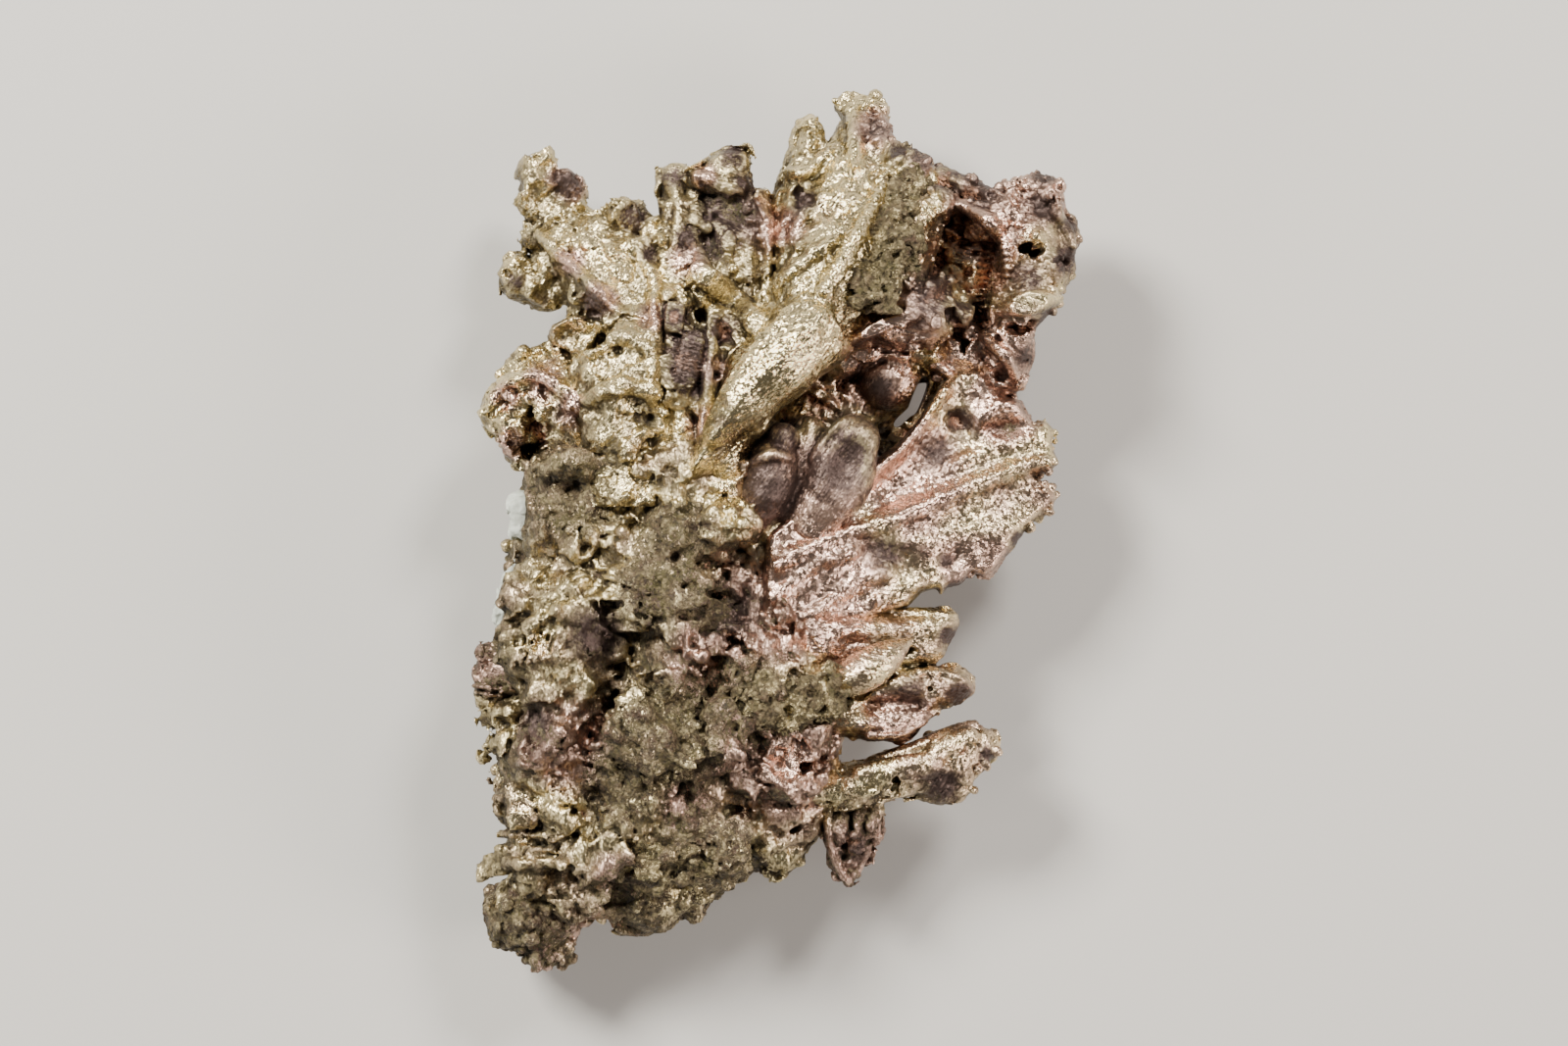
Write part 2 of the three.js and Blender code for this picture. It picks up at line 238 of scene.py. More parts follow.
LIMB_ROOM, LUMP_ROOM, CUBE_ROOM = 1.3, 1.45, 1.5  # how far corners may reach past half sizes
BAND_STEPS = 2.5  # how much wider than the relief a band of skin is, in steps
WAVER, WAVER_SIZE = 2.2, 1.6  # how far ribs wander from their even pitch, and over what length
FLOOR_GAP = 1e-4  # how far the underside stays above the floor


def flowing(stations, parts=3):
    """The stations with smooth ones added between them."""
    given = np.array(stations, dtype=float)
    padded = np.vstack([2 * given[0] - given[1], given, 2 * given[-1] - given[-2]])
    made = []
    for a, b, c, d in zip(padded[:-3], padded[1:-2], padded[2:-1], padded[3:]):
        for t in np.arange(parts) / parts:
            bend = 2 * a - 5 * b + 4 * c - d + t * (3 * (b - c) + d - a)
            made.append(b + 0.5 * t * (c - a + t * bend))
    made = np.array(made + [given[-1]])
    made[:, 3:] = np.maximum(made[:, 3:], given[:, 3:].min(0) * THINNEST)
    return made


def stretch(a, b, spots, crest):
    """Distances to the stretch of limb between two stations."""
    length = np.linalg.norm(b[:3] - a[:3])
    way = (b[:3] - a[:3]) / length
    side = np.cross(way, UP if abs(way[2]) < NEARLY_UP else (1, 0, 0))
    side /= np.linalg.norm(side)
    out = np.cross(side, way)
    apart = [spot - start for spot, start in zip(spots, a[:3])]
    along, across, deep = (sum(d * w for d, w in zip(apart, axis)) for axis in (way, side, out))
    share = np.clip(along / length, 0, 1)
    half = [np.float32(a[i]) + share * np.float32(b[i] - a[i]) for i in (3, 4)]
    thin = np.minimum(*half)
    past = np.abs(along - share * length) / thin
    ratio = (np.abs(across) / half[0]) ** crest + (np.abs(deep) / half[1]) ** crest + past**crest
    return ((ratio ** (1 / crest) - 1) * thin).astype(np.float32)


def bumps(places, size, seed):
    """Smooth chance values from -1 to 1, with bumps of about the given size."""
    side = TABLE_SIDE
    table = np.random.default_rng(seed).uniform(-1, 1, (side, side, side)).astype(np.float32)
    spots = places / size
    base = np.floor(spots).astype(int)
    share = (spots - base).astype(np.float32)
    share *= share * (3 - 2 * share)
    total = 0
    for corner in CUBE:
        weight = np.prod(np.where(corner, share, 1 - share), 1)
        total = total + weight * table[tuple(((base + corner) % side).T)]
    return total * BUMP_GAIN


def broken(spots, seed, tilt):
    """Levels from about -1 to 1 in ragged cells of size 1, each cell with a slope of its own."""
    side = TABLE_SIDE  # a cell's seven chance values are its shift, its slope and its level
    table = np.random.default_rng(seed).uniform(-1, 1, (side, side, side, 7)).astype(np.float32)
    spots = spots.astype(np.float32)
    base = np.floor(spots - 0.5).astype(int)
    least = np.full(len(spots), FAR, np.float32)
    level = np.zeros(len(spots), np.float32)
    for corner in CUBE:
        cell = base + corner
        own = table[tuple((cell % side).T)]
        gap = spots - cell.astype(np.float32) - 0.5 - SHIFT * own[:, :3]
        far = (gap**2).sum(1)
        closer = far < least
        least[closer] = far[closer]
        level[closer] = (own[:, 6] + tilt * (gap * own[:, 3:6]).sum(1))[closer]
    return level


def turned(x, y, angle):
    """Distances across and along a direction in the plane of the floor."""
    return x * math.cos(angle) + y * math.sin(angle), y * math.cos(angle) - x * math.sin(angle)


def laid(spots, turn, grain):
    """Places measured along a grain, which stretches them and is swung round by turn."""
    across, along = turned(spots[:, 0], spots[:, 1], turn)
    return np.stack([across, along, spots[:, 2]], 1) / np.array(grain)


def away(x, y, route):
    """How far each place in the plane is from a line through some points."""
    least = math.inf
    for (ax, ay), (bx, by) in zip(route[:-1], route[1:]):
        dx, dy = bx - ax, by - ay
        share = np.clip(((x - ax) * dx + (y - ay) * dy) / (dx * dx + dy * dy), 0, 1)
        least = np.minimum(least, np.hypot(x - ax - share * dx, y - ay - share * dy))
    return least


def folded(x, y, folds):
    """The relief of folds [points of the fold's line, rise, half width]."""
    return sum(rise * np.exp(-((away(x, y, line) / width) ** 2)) for line, rise, width in folds)


class Growth:
    """One piece's shape, as distances in millimetres on a grid. Below zero is inside."""

    def __init__(self, node, step, seed):
        low, high = (np.array(corner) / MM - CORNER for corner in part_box(node))
        self.node = node
        self.step = step * 1
        self.axes = [
            np.arange(a - MARGIN, b + MARGIN, self.step, dtype=np.float32)
            for a, b in zip(low, high)
        ]
        self.field = np.full([len(axis) for axis in self.axes], FAR, np.float32)
        self.seed = seed
        self.chance = np.random.default_rng(seed)

    def window(self, low, high):
        """The part of the grid between two corners."""
        cuts = []
        for axis, a, b in zip(self.axes, low, high):
            first, last = np.searchsorted(axis, (a, b))
            cuts.append(slice(first, max(first, last)))
        return tuple(cuts)

    def spots(self, cuts):
        """The coordinates of a part of the grid."""
        axes = [axis[cut] for axis, cut in zip(self.axes, cuts)]
        return np.meshgrid(*axes, indexing="ij", sparse=True)

    def merge(self, cuts, distance, blend, hollow):
        """Joins a shape to the field, or cuts it out, with a fillet of the size of blend."""
        sign = -1 if hollow else 1
        near = sign * self.field[cuts]
        share = np.clip(0.5 + 0.5 * (near - distance) / blend, 0, 1)
        joined = near + share * (distance - near) - blend * share * (1 - share)
        self.field[cuts] = sign * joined

    def frayed(self, cuts, distance):
        """Makes the walls of a cut wander, so that it looks broken and not drilled."""
        near = np.nonzero(distance < 2 * FRAY)
        spots = np.stack([axis[cut][i] for axis, cut, i in zip(self.axes, cuts, near)], 1)
        distance[near] += (FRAY * bumps(spots, FRAY_SIZE, self.seed + 3)).astype(np.float32)

    def limbs(self, *routes, blend=0.5, crest=2.0, hollow=False, parts=3):
        """Limbs, each through its stations. A low crest gives them a sharp ridge."""
        for stations in routes:
            route = flowing(stations, parts)
            reach = route[:, 3:].max() + blend + self.step
            cuts = self.window(route[:, :3].min(0) - reach, route[:, :3].max(0) + reach)
            whole = np.full([cut.stop - cut.start for cut in cuts], FAR, np.float32)
            for a, b in zip(route[:-1], route[1:]):
                reach = max(a[3:].max(), b[3:].max()) * LIMB_ROOM + blend + self.step
                own = self.window(np.minimum(a, b)[:3] - reach, np.maximum(a, b)[:3] + reach)
                own = [slice(max(o.start, c.start), min(o.stop, c.stop)) for o, c in zip(own, cuts)]
                if all(o.start < o.stop for o in own):
                    part = tuple(slice(o.start - c.start, o.stop - c.start) for o, c in zip(own, cuts))
                    whole[part] = np.minimum(whole[part], stretch(a, b, self.spots(own), crest))
            if hollow and blend < SMOOTH:
                self.frayed(cuts, whole)
            self.merge(cuts, whole, blend, hollow)

    def lumps(self, *places, blend=0.4, power=2.0, turn=0.0, tilt=0.0, hollow=False):
        """Ellipsoids [x, y, z, half sizes], or with a higher power boxy blocks."""
        for place in places:
            centre, half = place[:3], np.array(place[3:], dtype=float)
            reach = half.max() * LUMP_ROOM + blend
            cuts = self.window(np.array(centre) - reach, np.array(centre) + reach)
            spots = self.spots(cuts)
            axes = np.array(Euler((tilt, 0, turn)).to_matrix()).T
            ratio = sum(
                np.abs(sum((s - c) * t for s, c, t in zip(spots, centre, row)) / size) ** power
                for row, size in zip(axes, half)
            ) ** (1 / power)
            self.merge(cuts, ((ratio - 1) * half.min()).astype(np.float32), blend, hollow)

    def plate(self, outline, level, thick, folds=(), rim=1.4, blend=0.5):
        """A plate inside an outline. level and thick are [at x = 0, slope along x, slope along y]."""
        low, high = np.min(outline, 0) - 1, np.max(outline, 0) + 1
        cuts = self.window((*low, 0), (*high, ABOVE))
        x, y, z = self.spots(cuts)
        ring = [*outline, outline[0]]
        edge = away(x, y, ring)
        within = np.zeros(edge.shape, bool)
        for (ax, ay), (bx, by) in zip(ring[:-1], ring[1:]):
            if ay != by:
                within ^= ((ay > y) != (by > y)) & (x < ax + (y - ay) * (bx - ax) / (by - ay))
        middle, half = (a + b * x + c * y for a, b, c in (level, thick))
        middle = middle + folded(x, y, folds)
        round_off = 1 - np.clip(edge / rim, 0, 1)
        half = half * np.sqrt(np.maximum(1 - round_off**2, THIN_RIM))
        distance = np.maximum(np.abs(z - middle) - half, np.where(within, -edge, edge))
        self.merge(cuts, distance.astype(np.float32), blend, False)

    def block(self, centre, size, turn, blend, hollow):
        """A cube crystal with its corners cut."""
        reach = size.max() * CUBE_ROOM + blend
        cuts = self.window(centre - reach, centre + reach)
        spots = self.spots(cuts)
        x, y, z = (
            np.abs(sum((s - c) * t for s, c, t in zip(spots, centre, row))) / length
            for row, length in zip(turn, size)
        )
        ratio = np.maximum(np.maximum(np.maximum(x, y), z), (x + y + z) * CUT_CORNERS)
        self.merge(cuts, ((ratio - 1) * size.min()).astype(np.float32), blend, hollow)

    def crystals(self, count, size, jitter=0.8, shape=(1, 1, 1), pits=0.0, area=None, blend=0.06):
        """Sets crystals of one common orientation, give or take jitter, all over the skin."""
        skin = np.argwhere(np.abs(self.field) < self.step * ON_SKIN)
        places = np.stack([axis[skin[:, i]] for i, axis in enumerate(self.axes)], 1)
        if area is not None:
            places = places[area(*places.T)]
        if len(places) == 0:
            return
        for place in places[self.chance.integers(0, len(places), count)]:
            lengths = size * np.array(shape) * self.chance.uniform(*CRYSTAL_SIZES)
            lengths = lengths * self.chance.uniform(*CRYSTAL_SIDES, 3)
            turn = Euler(self.chance.normal(0, jitter, 3)).to_matrix() @ Euler(LATTICE).to_matrix()
            place = place + self.chance.normal(0, SINK * size, 3)
            self.block(place, lengths, np.array(turn), blend, self.chance.random() < pits)

    def skin_band(self, reach):
        """The grid cells within a reach of the skin, and their coordinates."""
        near = np.nonzero(np.abs(self.field) < reach + BAND_STEPS * self.step)
        return near, np.stack([axis[i] for axis, i in zip(self.axes, near)], 1)

    def lift(self, near, spots, height, wave, area):
        """Raises the skin by a height times a wave, all over or in an area only."""
        if area is not None:
            wave = wave * area(*spots.T)
        self.field[near] -= (height * wave).astype(np.float32)

    def rough(self, height, size, grain=(1, 1, 1), turn=0.0, area=None):
        """Raises and sinks the skin in bumps. grain stretches them, and turn swings them."""
        near, spots = self.skin_band(height)
        wave = bumps(laid(spots, turn, grain), size, self.seed + round(size * 100))
        self.lift(near, spots, height, wave, area)

    def chips(self, height, size, grain=(1, 1, 1), turn=0.0, tilt=1.6, area=None):
        """Breaks the skin into flat chips of about a size, each at its own level and slope."""
        near, spots = self.skin_band(height * (1 + tilt))
        level = broken(laid(spots, turn, grain) / size, self.seed + round(size * 100), tilt)
        self.lift(near, spots, height, level, area)

    def comb(self, height, pitch, turn=0.0, fan=None, area=None):
        """Fine parallel ribs, or with fan = (x, y, reach) ribs that spread from a point.

        The pitch is true at that reach from the point.
        """
        near, spots = self.skin_band(height)
        if fan is None:
            across, _ = turned(spots[:, 0], spots[:, 1], turn)
        else:
            across = np.arctan2(spots[:, 1] - fan[1], spots[:, 0] - fan[0]) * fan[2]
        waver = WAVER * bumps(spots, WAVER_SIZE, self.seed + 7)
        self.lift(near, spots, height, np.sin(2 * np.pi * across / pitch + waver), area)

    def face(self, x, y):
        """The height of the face at a place, or no number where there is none."""
        i, j = (
            int(np.clip(np.searchsorted(axis, value), 0, len(axis) - 1))
            for axis, value in zip(self.axes, (x, y))
        )
        filled = np.nonzero(self.field[i, j] < 0)[0]
        return self.axes[2][filled.max()] if len(filled) else math.nan

    def on_face(self, *strokes, **settings):
        """Limbs laid on the face. Their stations give the rise over it in place of z."""
        for stroke in strokes:
            route = flowing(stroke, 4)
            level = np.array([self.face(x, y) for x, y in route[:, :2]])
            known = np.nonzero(~np.isnan(level))[0]
            if len(known):
                level = np.interp(np.arange(len(level)), known, level[known])
                level[1:-1] = (level[:-2] + 2 * level[1:-1] + level[2:]) / 4
                route[:, 2] += level
                self.limbs(route, parts=1, **settings)

    def skin(self):
        """Points and four-sided faces of the surface, with one point in each cell it crosses."""
        field = np.maximum(self.field, -self.axes[2] + FLOOR_GAP)
        for axis in range(3):
            edge = np.moveaxis(field, axis, 0)
            edge[0] = edge[-1] = FAR
        inside = field < 0
        cells = [n - 1 for n in field.shape]
        filled = np.zeros(cells, np.int8)
        for corner in CUBE:
            filled += inside[tuple(slice(c, c + n) for c, n in zip(corner, cells))]
        crossed = np.argwhere((filled > 0) & (filled < 8))
        index = np.full(cells, -1, np.int32)
        index[tuple(crossed.T)] = np.arange(len(crossed))
        total = np.zeros((len(crossed), 3))
        hits = np.zeros(len(crossed))
        for corner in CUBE:
            near = field[tuple((crossed + corner).T)]
            for axis in np.nonzero(corner == 0)[0]:
                way = np.eye(3, dtype=int)[axis]
                far = field[tuple((crossed + corner + way).T)]
                cut = np.nonzero((near < 0) != (far < 0))[0]
                share = near[cut] / (near[cut] - far[cut])
                total[cut] += corner + share[:, None] * way
                hits[cut] += 1
        origin = np.array([axis[0] for axis in self.axes])
        points = origin + (crossed + total / hits[:, None]) * self.step
        faces = []
        for axis in range(3):
            u, v = (axis + 1) % 3, (axis + 2) % 3
            trim = [slice(1, -1)] * 3
            trim[axis] = slice(None, -1)
            here = inside[tuple(trim)]
            trim[axis] = slice(1, None)
            edges = np.argwhere(here != inside[tuple(trim)])
            ring = []
            for du, dv in ((0, 0), (1, 0), (1, 1), (0, 1)):
                cell = edges.copy()
                cell[:, u] += du
                cell[:, v] += dv
                ring.append(index[tuple(cell.T)])
            ring = np.stack(ring, 1)
            outward = here[tuple(edges.T)]
            faces.append(np.where(outward[:, None], ring, ring[:, ::-1]))
        return points, np.vstack(faces)

    def shelter(self, points, radius):
        """The share of silver within a radius of each point: 0.5 on a flat face, more in a hollow."""
        share = (self.field < 0).astype(np.float32)
        reach = max(1, round(radius / self.step))
        for axis in (0, 1, 2, 0, 1, 2):
            n = share.shape[axis]
            total = np.cumsum(share, axis, dtype=np.float32)
            ahead = np.minimum(np.arange(n) + reach, n - 1)
            behind = np.maximum(np.arange(n) - reach, 0)
            share = (np.take(total, ahead, axis) - np.take(total, behind, axis)) / (2 * reach)
        where = [
            np.clip(np.round((points[:, i] - axis[0]) / self.step).astype(int), 0, len(axis) - 1)
            for i, axis in enumerate(self.axes)
        ]
        return share[tuple(where)]


def largest(points, faces):
    """The mesh without the loose crumbs that a cut can leave."""
    ends = np.vstack([faces[:, [0, 1]], faces[:, [1, 2]], faces[:, [2, 3]], faces[:, [3, 0]]])
    leader = np.arange(len(points))
    while True:
        least = np.minimum(leader[ends[:, 0]], leader[ends[:, 1]])
        found = leader.copy()
        np.minimum.at(found, ends[:, 0], least)
        np.minimum.at(found, ends[:, 1], least)
        found = found[found]
        if (found == leader).all():
            break
        leader = found
    bodies, sizes = np.unique(leader, return_counts=True)
    kept = leader == bodies[sizes.argmax()]
    renumbered = np.cumsum(kept) - 1
    return points[kept], renumbered[faces[kept[faces[:, 0]]]]


RELIEF = ["Pit depth", "Pit size", "Grain height", "Grain size"]
PIT_LEVEL = 0.45  # the distance from a pit's middle at which the skin stays where it is


def pitted(item, sizes):
    """Sinks pits, or with a depth below zero raises pebbles, with fine grain all over them."""
    tree = bpy.data.node_groups.new("pitted", "GeometryNodeTree")
    tree.interface.new_socket("Geometry", in_out="INPUT", socket_type="NodeSocketGeometry")
    sockets = [
        tree.interface.new_socket(name, in_out="INPUT", socket_type="NodeSocketFloat")
        for name in RELIEF
    ]
    tree.interface.new_socket("Geometry", in_out="OUTPUT", socket_type="NodeSocketGeometry")
    start = Wire(tree)
    group = start.node("NodeGroupInput").socket.node
    given = {name: Wire(tree, group.outputs[name]) for name in ["Geometry", *RELIEF]}
    place = start.node("GeometryNodeInputPosition")

    def spread(size):
        return place.scaled(start.maths("DIVIDE", 1 / MM, given[size]))

    inputs = {"Vector": spread("Pit size"), "Scale": 1.0}
    pit = start.node("ShaderNodeTexVoronoi", {"feature": "F1"}, inputs)
    inputs = {"Vector": spread("Grain size"), "Scale": 1.0, "Detail": 2.0}
    grain = start.node("ShaderNodeTexNoise", {}, inputs) - 0.5
    height = (pit - PIT_LEVEL) * given["Pit depth"] + grain * given["Grain height"]
    offset = start.node("GeometryNodeInputNormal").scaled(height * MM)
    inputs = {"Geometry": given["Geometry"], "Offset": offset}
    moved = start.node("GeometryNodeSetPosition", {}, inputs)
    inputs = {"Geometry": moved, "Material": item.data.materials[0]}
    made = start.node("GeometryNodeSetMaterial", {}, inputs)
    start.node("NodeGroupOutput", {}, {"Geometry": made})
    modifier = item.modifiers.new("pitted", "NODES")
    modifier.node_group = tree
    for socket, value in zip(sockets, sizes):
        modifier[socket.identifier] = value


MOST_TRIANGLES = 185_000
SPOT_CORE, SPOT_FADE = 1.35, 0.85  # a spot is full within 0.4 of its radius, and ends at 1.6
CREVICE_REACH, HOLLOW_REACH = 0.4, 1.5  # how far round a point the silver is counted
HOLLOW_FROM = 0.6  # the share of silver round a point from which it counts as in a hollow
SHARPEN = 5  # how quickly a mask rises with that share
BARE_AND_HIGHLIT_SHARE = 0.5  # how much of the earth and tarnish is gone where silver is bare, and where brighter silver is painted in as a highlight
FAN_REACH = 8  # how far from its point a fanned grain has its true width
FLOW_DEPTH = 0.5  # how quickly the grain changes into the depth, beside across it


def soft_spots(points, spots):
    """How much each point lies in any of the round spots [x, y, radius]."""
    most = np.zeros(len(points))
    for x, y, radius in spots:
        gap = np.hypot(points[:, 0] - x, points[:, 1] - y) / radius
        most = np.maximum(most, np.clip(SPOT_CORE - gap * SPOT_FADE, 0, 1))
    return most


def grown(shape, slot, relief, flow=0.0, earth=(), rose=(), tarnish=(), copper=(), bare_and_highlit=(),
          dulled=0.0):
    """Makes a piece from its growth: its skin pitted, its masks stored and its node replaced.

    relief holds the sizes that RELIEF names. flow is the direction of the grain in the finish,
    or the point that it spreads from. The masks are round spots [x, y, radius] on the face.
    """
    points, faces = largest(*shape.skin())
    name = shape.node + "_grown"
    mesh = bpy.data.meshes.new(name)
    mesh.vertices.add(len(points))
    mesh.vertices.foreach_set("co", ((points + CORNER) * MM).ravel())
    mesh.loops.add(faces.size)
    mesh.loops.foreach_set("vertex_index", faces.astype(np.int32).ravel())
    mesh.polygons.add(len(faces))
    mesh.polygons.foreach_set("loop_start", np.arange(0, faces.size, 4, dtype=np.int32))
    mesh.update(calc_edges=True)
    mesh.polygons.foreach_set("use_smooth", np.ones(len(faces), bool))
    mesh.materials.append(materials[slot])
    near = shape.shelter(points, CREVICE_REACH)
    wide = shape.shelter(points, HOLLOW_REACH)
    # Bare spots clear earth and tarnish where the silver is bare, and also paint brighter silver as painted
    # highlights and as painted light in shade.
    bare_and_highlit_share = soft_spots(points, bare_and_highlit) * BARE_AND_HIGHLIT_SHARE
    values = {
        "hollow": np.clip((wide - HOLLOW_FROM) * SHARPEN, 0, 1),
        "crevice": np.clip((near - 0.5) * SHARPEN, 0, 1),
        "crest": np.clip((0.5 - near) * SHARPEN, 0, 1),
        "earth": soft_spots(points, earth) - bare_and_highlit_share,
        "rose": soft_spots(points, rose),
        "tarnish": soft_spots(points, tarnish) - bare_and_highlit_share + dulled,
        "copper": soft_spots(points, copper),
    }
    for key, value in values.items():
        stored = mesh.attributes.new(key, "FLOAT", "POINT")
        stored.data.foreach_set("value", value.astype(np.float32))
    if isinstance(flow, tuple):
        apart = points[:, :2] - flow
        lines = np.arctan2(apart[:, 1], apart[:, 0]) * FAN_REACH, np.hypot(*apart.T)
    else:
        lines = turned(points[:, 0], points[:, 1], flow)
    lines = np.stack([*lines, points[:, 2] * FLOW_DEPTH], 1).astype(np.float32)
    stored = mesh.attributes.new("flow", "FLOAT_VECTOR", "POINT")
    stored.data.foreach_set("vector", lines.ravel())
    item = bpy.data.objects.new(name, mesh)
    bpy.context.scene.collection.objects.link(item)
    pitted(item, relief)
    if 2 * len(faces) > MOST_TRIANGLES:
        thinner = item.modifiers.new("thinner", "DECIMATE")
        thinner.ratio = MOST_TRIANGLES / (2 * len(faces))
    graph = bpy.context.evaluated_depsgraph_get()
    made = bpy.data.meshes.new_from_object(
        item.evaluated_get(graph), preserve_all_data_layers=True, depsgraph=graph
    )
    item.modifiers.clear()
    item.data = made
    made.name = name
    bpy.data.meshes.remove(mesh)
    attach(item, "root")
    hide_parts(shape.node)


CHAMPAGNE = (0.79, 0.665, 0.385)
OLIVE_GREY = (0.140, 0.114, 0.066)
ROSE = (0.76, 0.52, 0.41)
PURPLE_BROWN = (0.150, 0.094, 0.076)
PURPLE_GREY = (0.085, 0.058, 0.051)
# the brown of coppery tarnish, also the painted shade of it deep in hollows
COPPER_BROWN_AND_SHADE = (0.058, 0.028, 0.018)
# painted highlight: the lit copy of the coppery tarnish, for painted glints
LIT_COPPER = (0.48, 0.27, 0.18)
DARK_EARTH = (0.020, 0.014, 0.007)
OLIVE_EARTH = (0.094, 0.077, 0.027)
BROWN_EARTH = (0.083, 0.047, 0.028)
PALE_EARTH = (0.31, 0.25, 0.132)
MASKS = ["hollow", "crevice", "crest", "earth", "rose", "tarnish", "copper"]
FIBRE_GRAIN = (4.6, 0.45, 1.0)  # how close the pattern is across the grain, along it and in depth
PLATE_GRAIN, PLATE_SIZE = (1.0, 0.7, 1.2), 0.45
FACET_GRAIN, FACET_SIZE = (1.0, 0.6, 1.4), 0.125
PLATE_TILT = 0.09  # how far the larger plates lean


def noise(place, size, detail=3.0, rough=0.6):
    """Cloudy values from about -0.3 to 0.3, in clouds of the given size."""
    inputs = {"Vector": place, "Scale": 1 / size, "Detail": detail, "Roughness": rough}
    return place.node("ShaderNodeTexNoise", {}, inputs) - 0.5


def grains(place, size):
    """The distance from the middle of each grain. Its other output 1 is each grain's chance."""
    inputs = {"Vector": place, "Scale": 1 / size}
    return place.node("ShaderNodeTexVoronoi", {"feature": "F1"}, inputs)


def soil(place, crevice):
    """The colour of earth made of pale, olive and brown grains with dark gaps, and its relief."""
    grain = grains(place, 0.30)
    chance = grain.other(1) + 0.0
    brown = (noise(place, 1.9) * 2.0 + chance * 0.5 + 0.05).between(0.0, 0.6)
    tone = brown.mix((*OLIVE_EARTH, 1), (*BROWN_EARTH, 1))
    pale = (noise(place, 1.1) * 1.8 + chance * 0.8 - 0.35).between(0.0, 0.5)
    tone = pale.mix(tone, (*PALE_EARTH, 1))
    light = (noise(place, 0.33, 3.0, 0.75) * 2.5 - grain * 0.5 - crevice * 0.5 + 0.85).between(0.0, 0.8)
    return light.mix((*DARK_EARTH, 1), tone), light - grain * 0.8


def silver(slot, rosy, tarnished, earthy, roughness=0.3, glint=0.5):
    """Tarnished silver: bright on its crests, dull between, duller on steep sides as painted shade, coppery
    and dark in its hollows as tarnish and painted shade, with painted copper glints.
    """
    start, shader = new_material(slot)
    spot = start.node("ShaderNodeTexCoord", out=3).scaled(1 / MM)
    flow = start.node("ShaderNodeAttribute", {"attribute_name": "flow"}, out=1)
    hollow, crevice, crest, earth, rose, tarnish, copper = (
        start.node("ShaderNodeAttribute", {"attribute_name": key}, out=2) for key in MASKS
    )
    patches = noise(spot, 4.5)
    clouds = noise(spot, 1.6, 4.0, 0.65)
    specks = noise(spot, 0.34, 3.0, 0.75)
    fibres = noise(flow.vector("MULTIPLY", flow, FIBRE_GRAIN), 1.0)
    plate = grains(flow.vector("MULTIPLY", flow, PLATE_GRAIN), PLATE_SIZE)
    facet = grains(flow.vector("MULTIPLY", flow, FACET_GRAIN), FACET_SIZE)
    chance = facet.other(1) - 0.5
    facing = start.node("ShaderNodeNewGeometry", out=1)
    # Painted shade: the steeper a face, the duller and darker its silver.
    painted_side_shade = 1.0 - facing.node("ShaderNodeSeparateXYZ", {}, {"Vector": facing}, out=2)
    pink = (rose + patches * 1.4 + clouds * 0.6 - crevice * 0.3 + (rosy - 0.45)).between(0.0, 0.6)
    bright = pink.mix((*CHAMPAGNE, 1), (*ROSE, 1))
    dull = pink.mix((*OLIVE_GREY, 1), (*PURPLE_BROWN, 1))
    dull = (tarnish * 0.8 + clouds * 0.6 - 0.05).between(0.0, 0.6).mix(dull, (*PURPLE_GREY, 1))
    film = clouds * 1.3 + specks * 0.5 + fibres * 0.9 + patches * 1.4 + chance * 0.42 + tarnish * 0.9
    film = (film + painted_side_shade * 0.35 + crevice * 0.6 - crest * 0.5 + tarnished).between(0.0, 1.0)
    metal = film.mix(bright, dull)
    # Partly coppery tarnish and partly painted shade: hollows and coppery spots turn dark brown.
    deep = (hollow * 0.43 + copper * 0.9 + specks * 0.5 - crest * 0.5 - 0.35).between(0.0, 0.5)
    # Painted glints: some grains of the coppery tarnish are lit copper, more of them on crests.
    painted_copper_glints = (copper * 0.9 + chance * 0.9 + specks * 1.2 + crest * 0.4 - 0.75).between(0.0, 0.3)
    metal = deep.mix(metal, painted_copper_glints.mix((*COPPER_BROWN_AND_SHADE, 1), (*LIT_COPPER, 1)))
    earth_colour, earth_relief = soil(spot, crevice)
    cover = earth * 0.95 + patches * 1.0 + clouds * 2.2 + specks * 1.7 + chance * 0.5 + crevice * 0.3
    cover = (cover - crest * 0.25 + (earthy - 0.8)).between(0.0, 0.25)
    cover = cover * (1.0 - (specks * 0.85 + clouds * 0.4 + chance * 0.36).between(0.1, 0.18))
    feed(cover.mix(metal, earth_colour), shader, "Base Color")
    feed(1.0 - cover * 0.92 - tarnish.between(0.0, 1.0) * 0.25, shader, "Metallic")
    matt = film * 0.1 + tarnish * 0.12 + cover * 0.27 + deep * 0.1 + specks * 0.15
    feed(matt + roughness, shader, "Roughness")
    relief = fibres * 0.8 + specks * 0.6 + earth_relief * cover * 1.5
    inputs = {"Strength": 0.6, "Distance": 0.12 * MM, "Height": relief}
    tilted = start.node("ShaderNodeBump", {}, inputs)
    for cell, most in ((facet, glint), (plate, PLATE_TILT)):
        tilt = cell.vector("SUBTRACT", cell.other(1), (0.5, 0.5, 0.5))
        tilted = tilt.vector("MULTIPLY_ADD", tilt, (most, most, most), tilted)
    feed(tilted.vector("NORMALIZE", tilted), shader, "Normal")


silver("crusted_silver", rosy=0.55, tarnished=0.8, earthy=0.87)

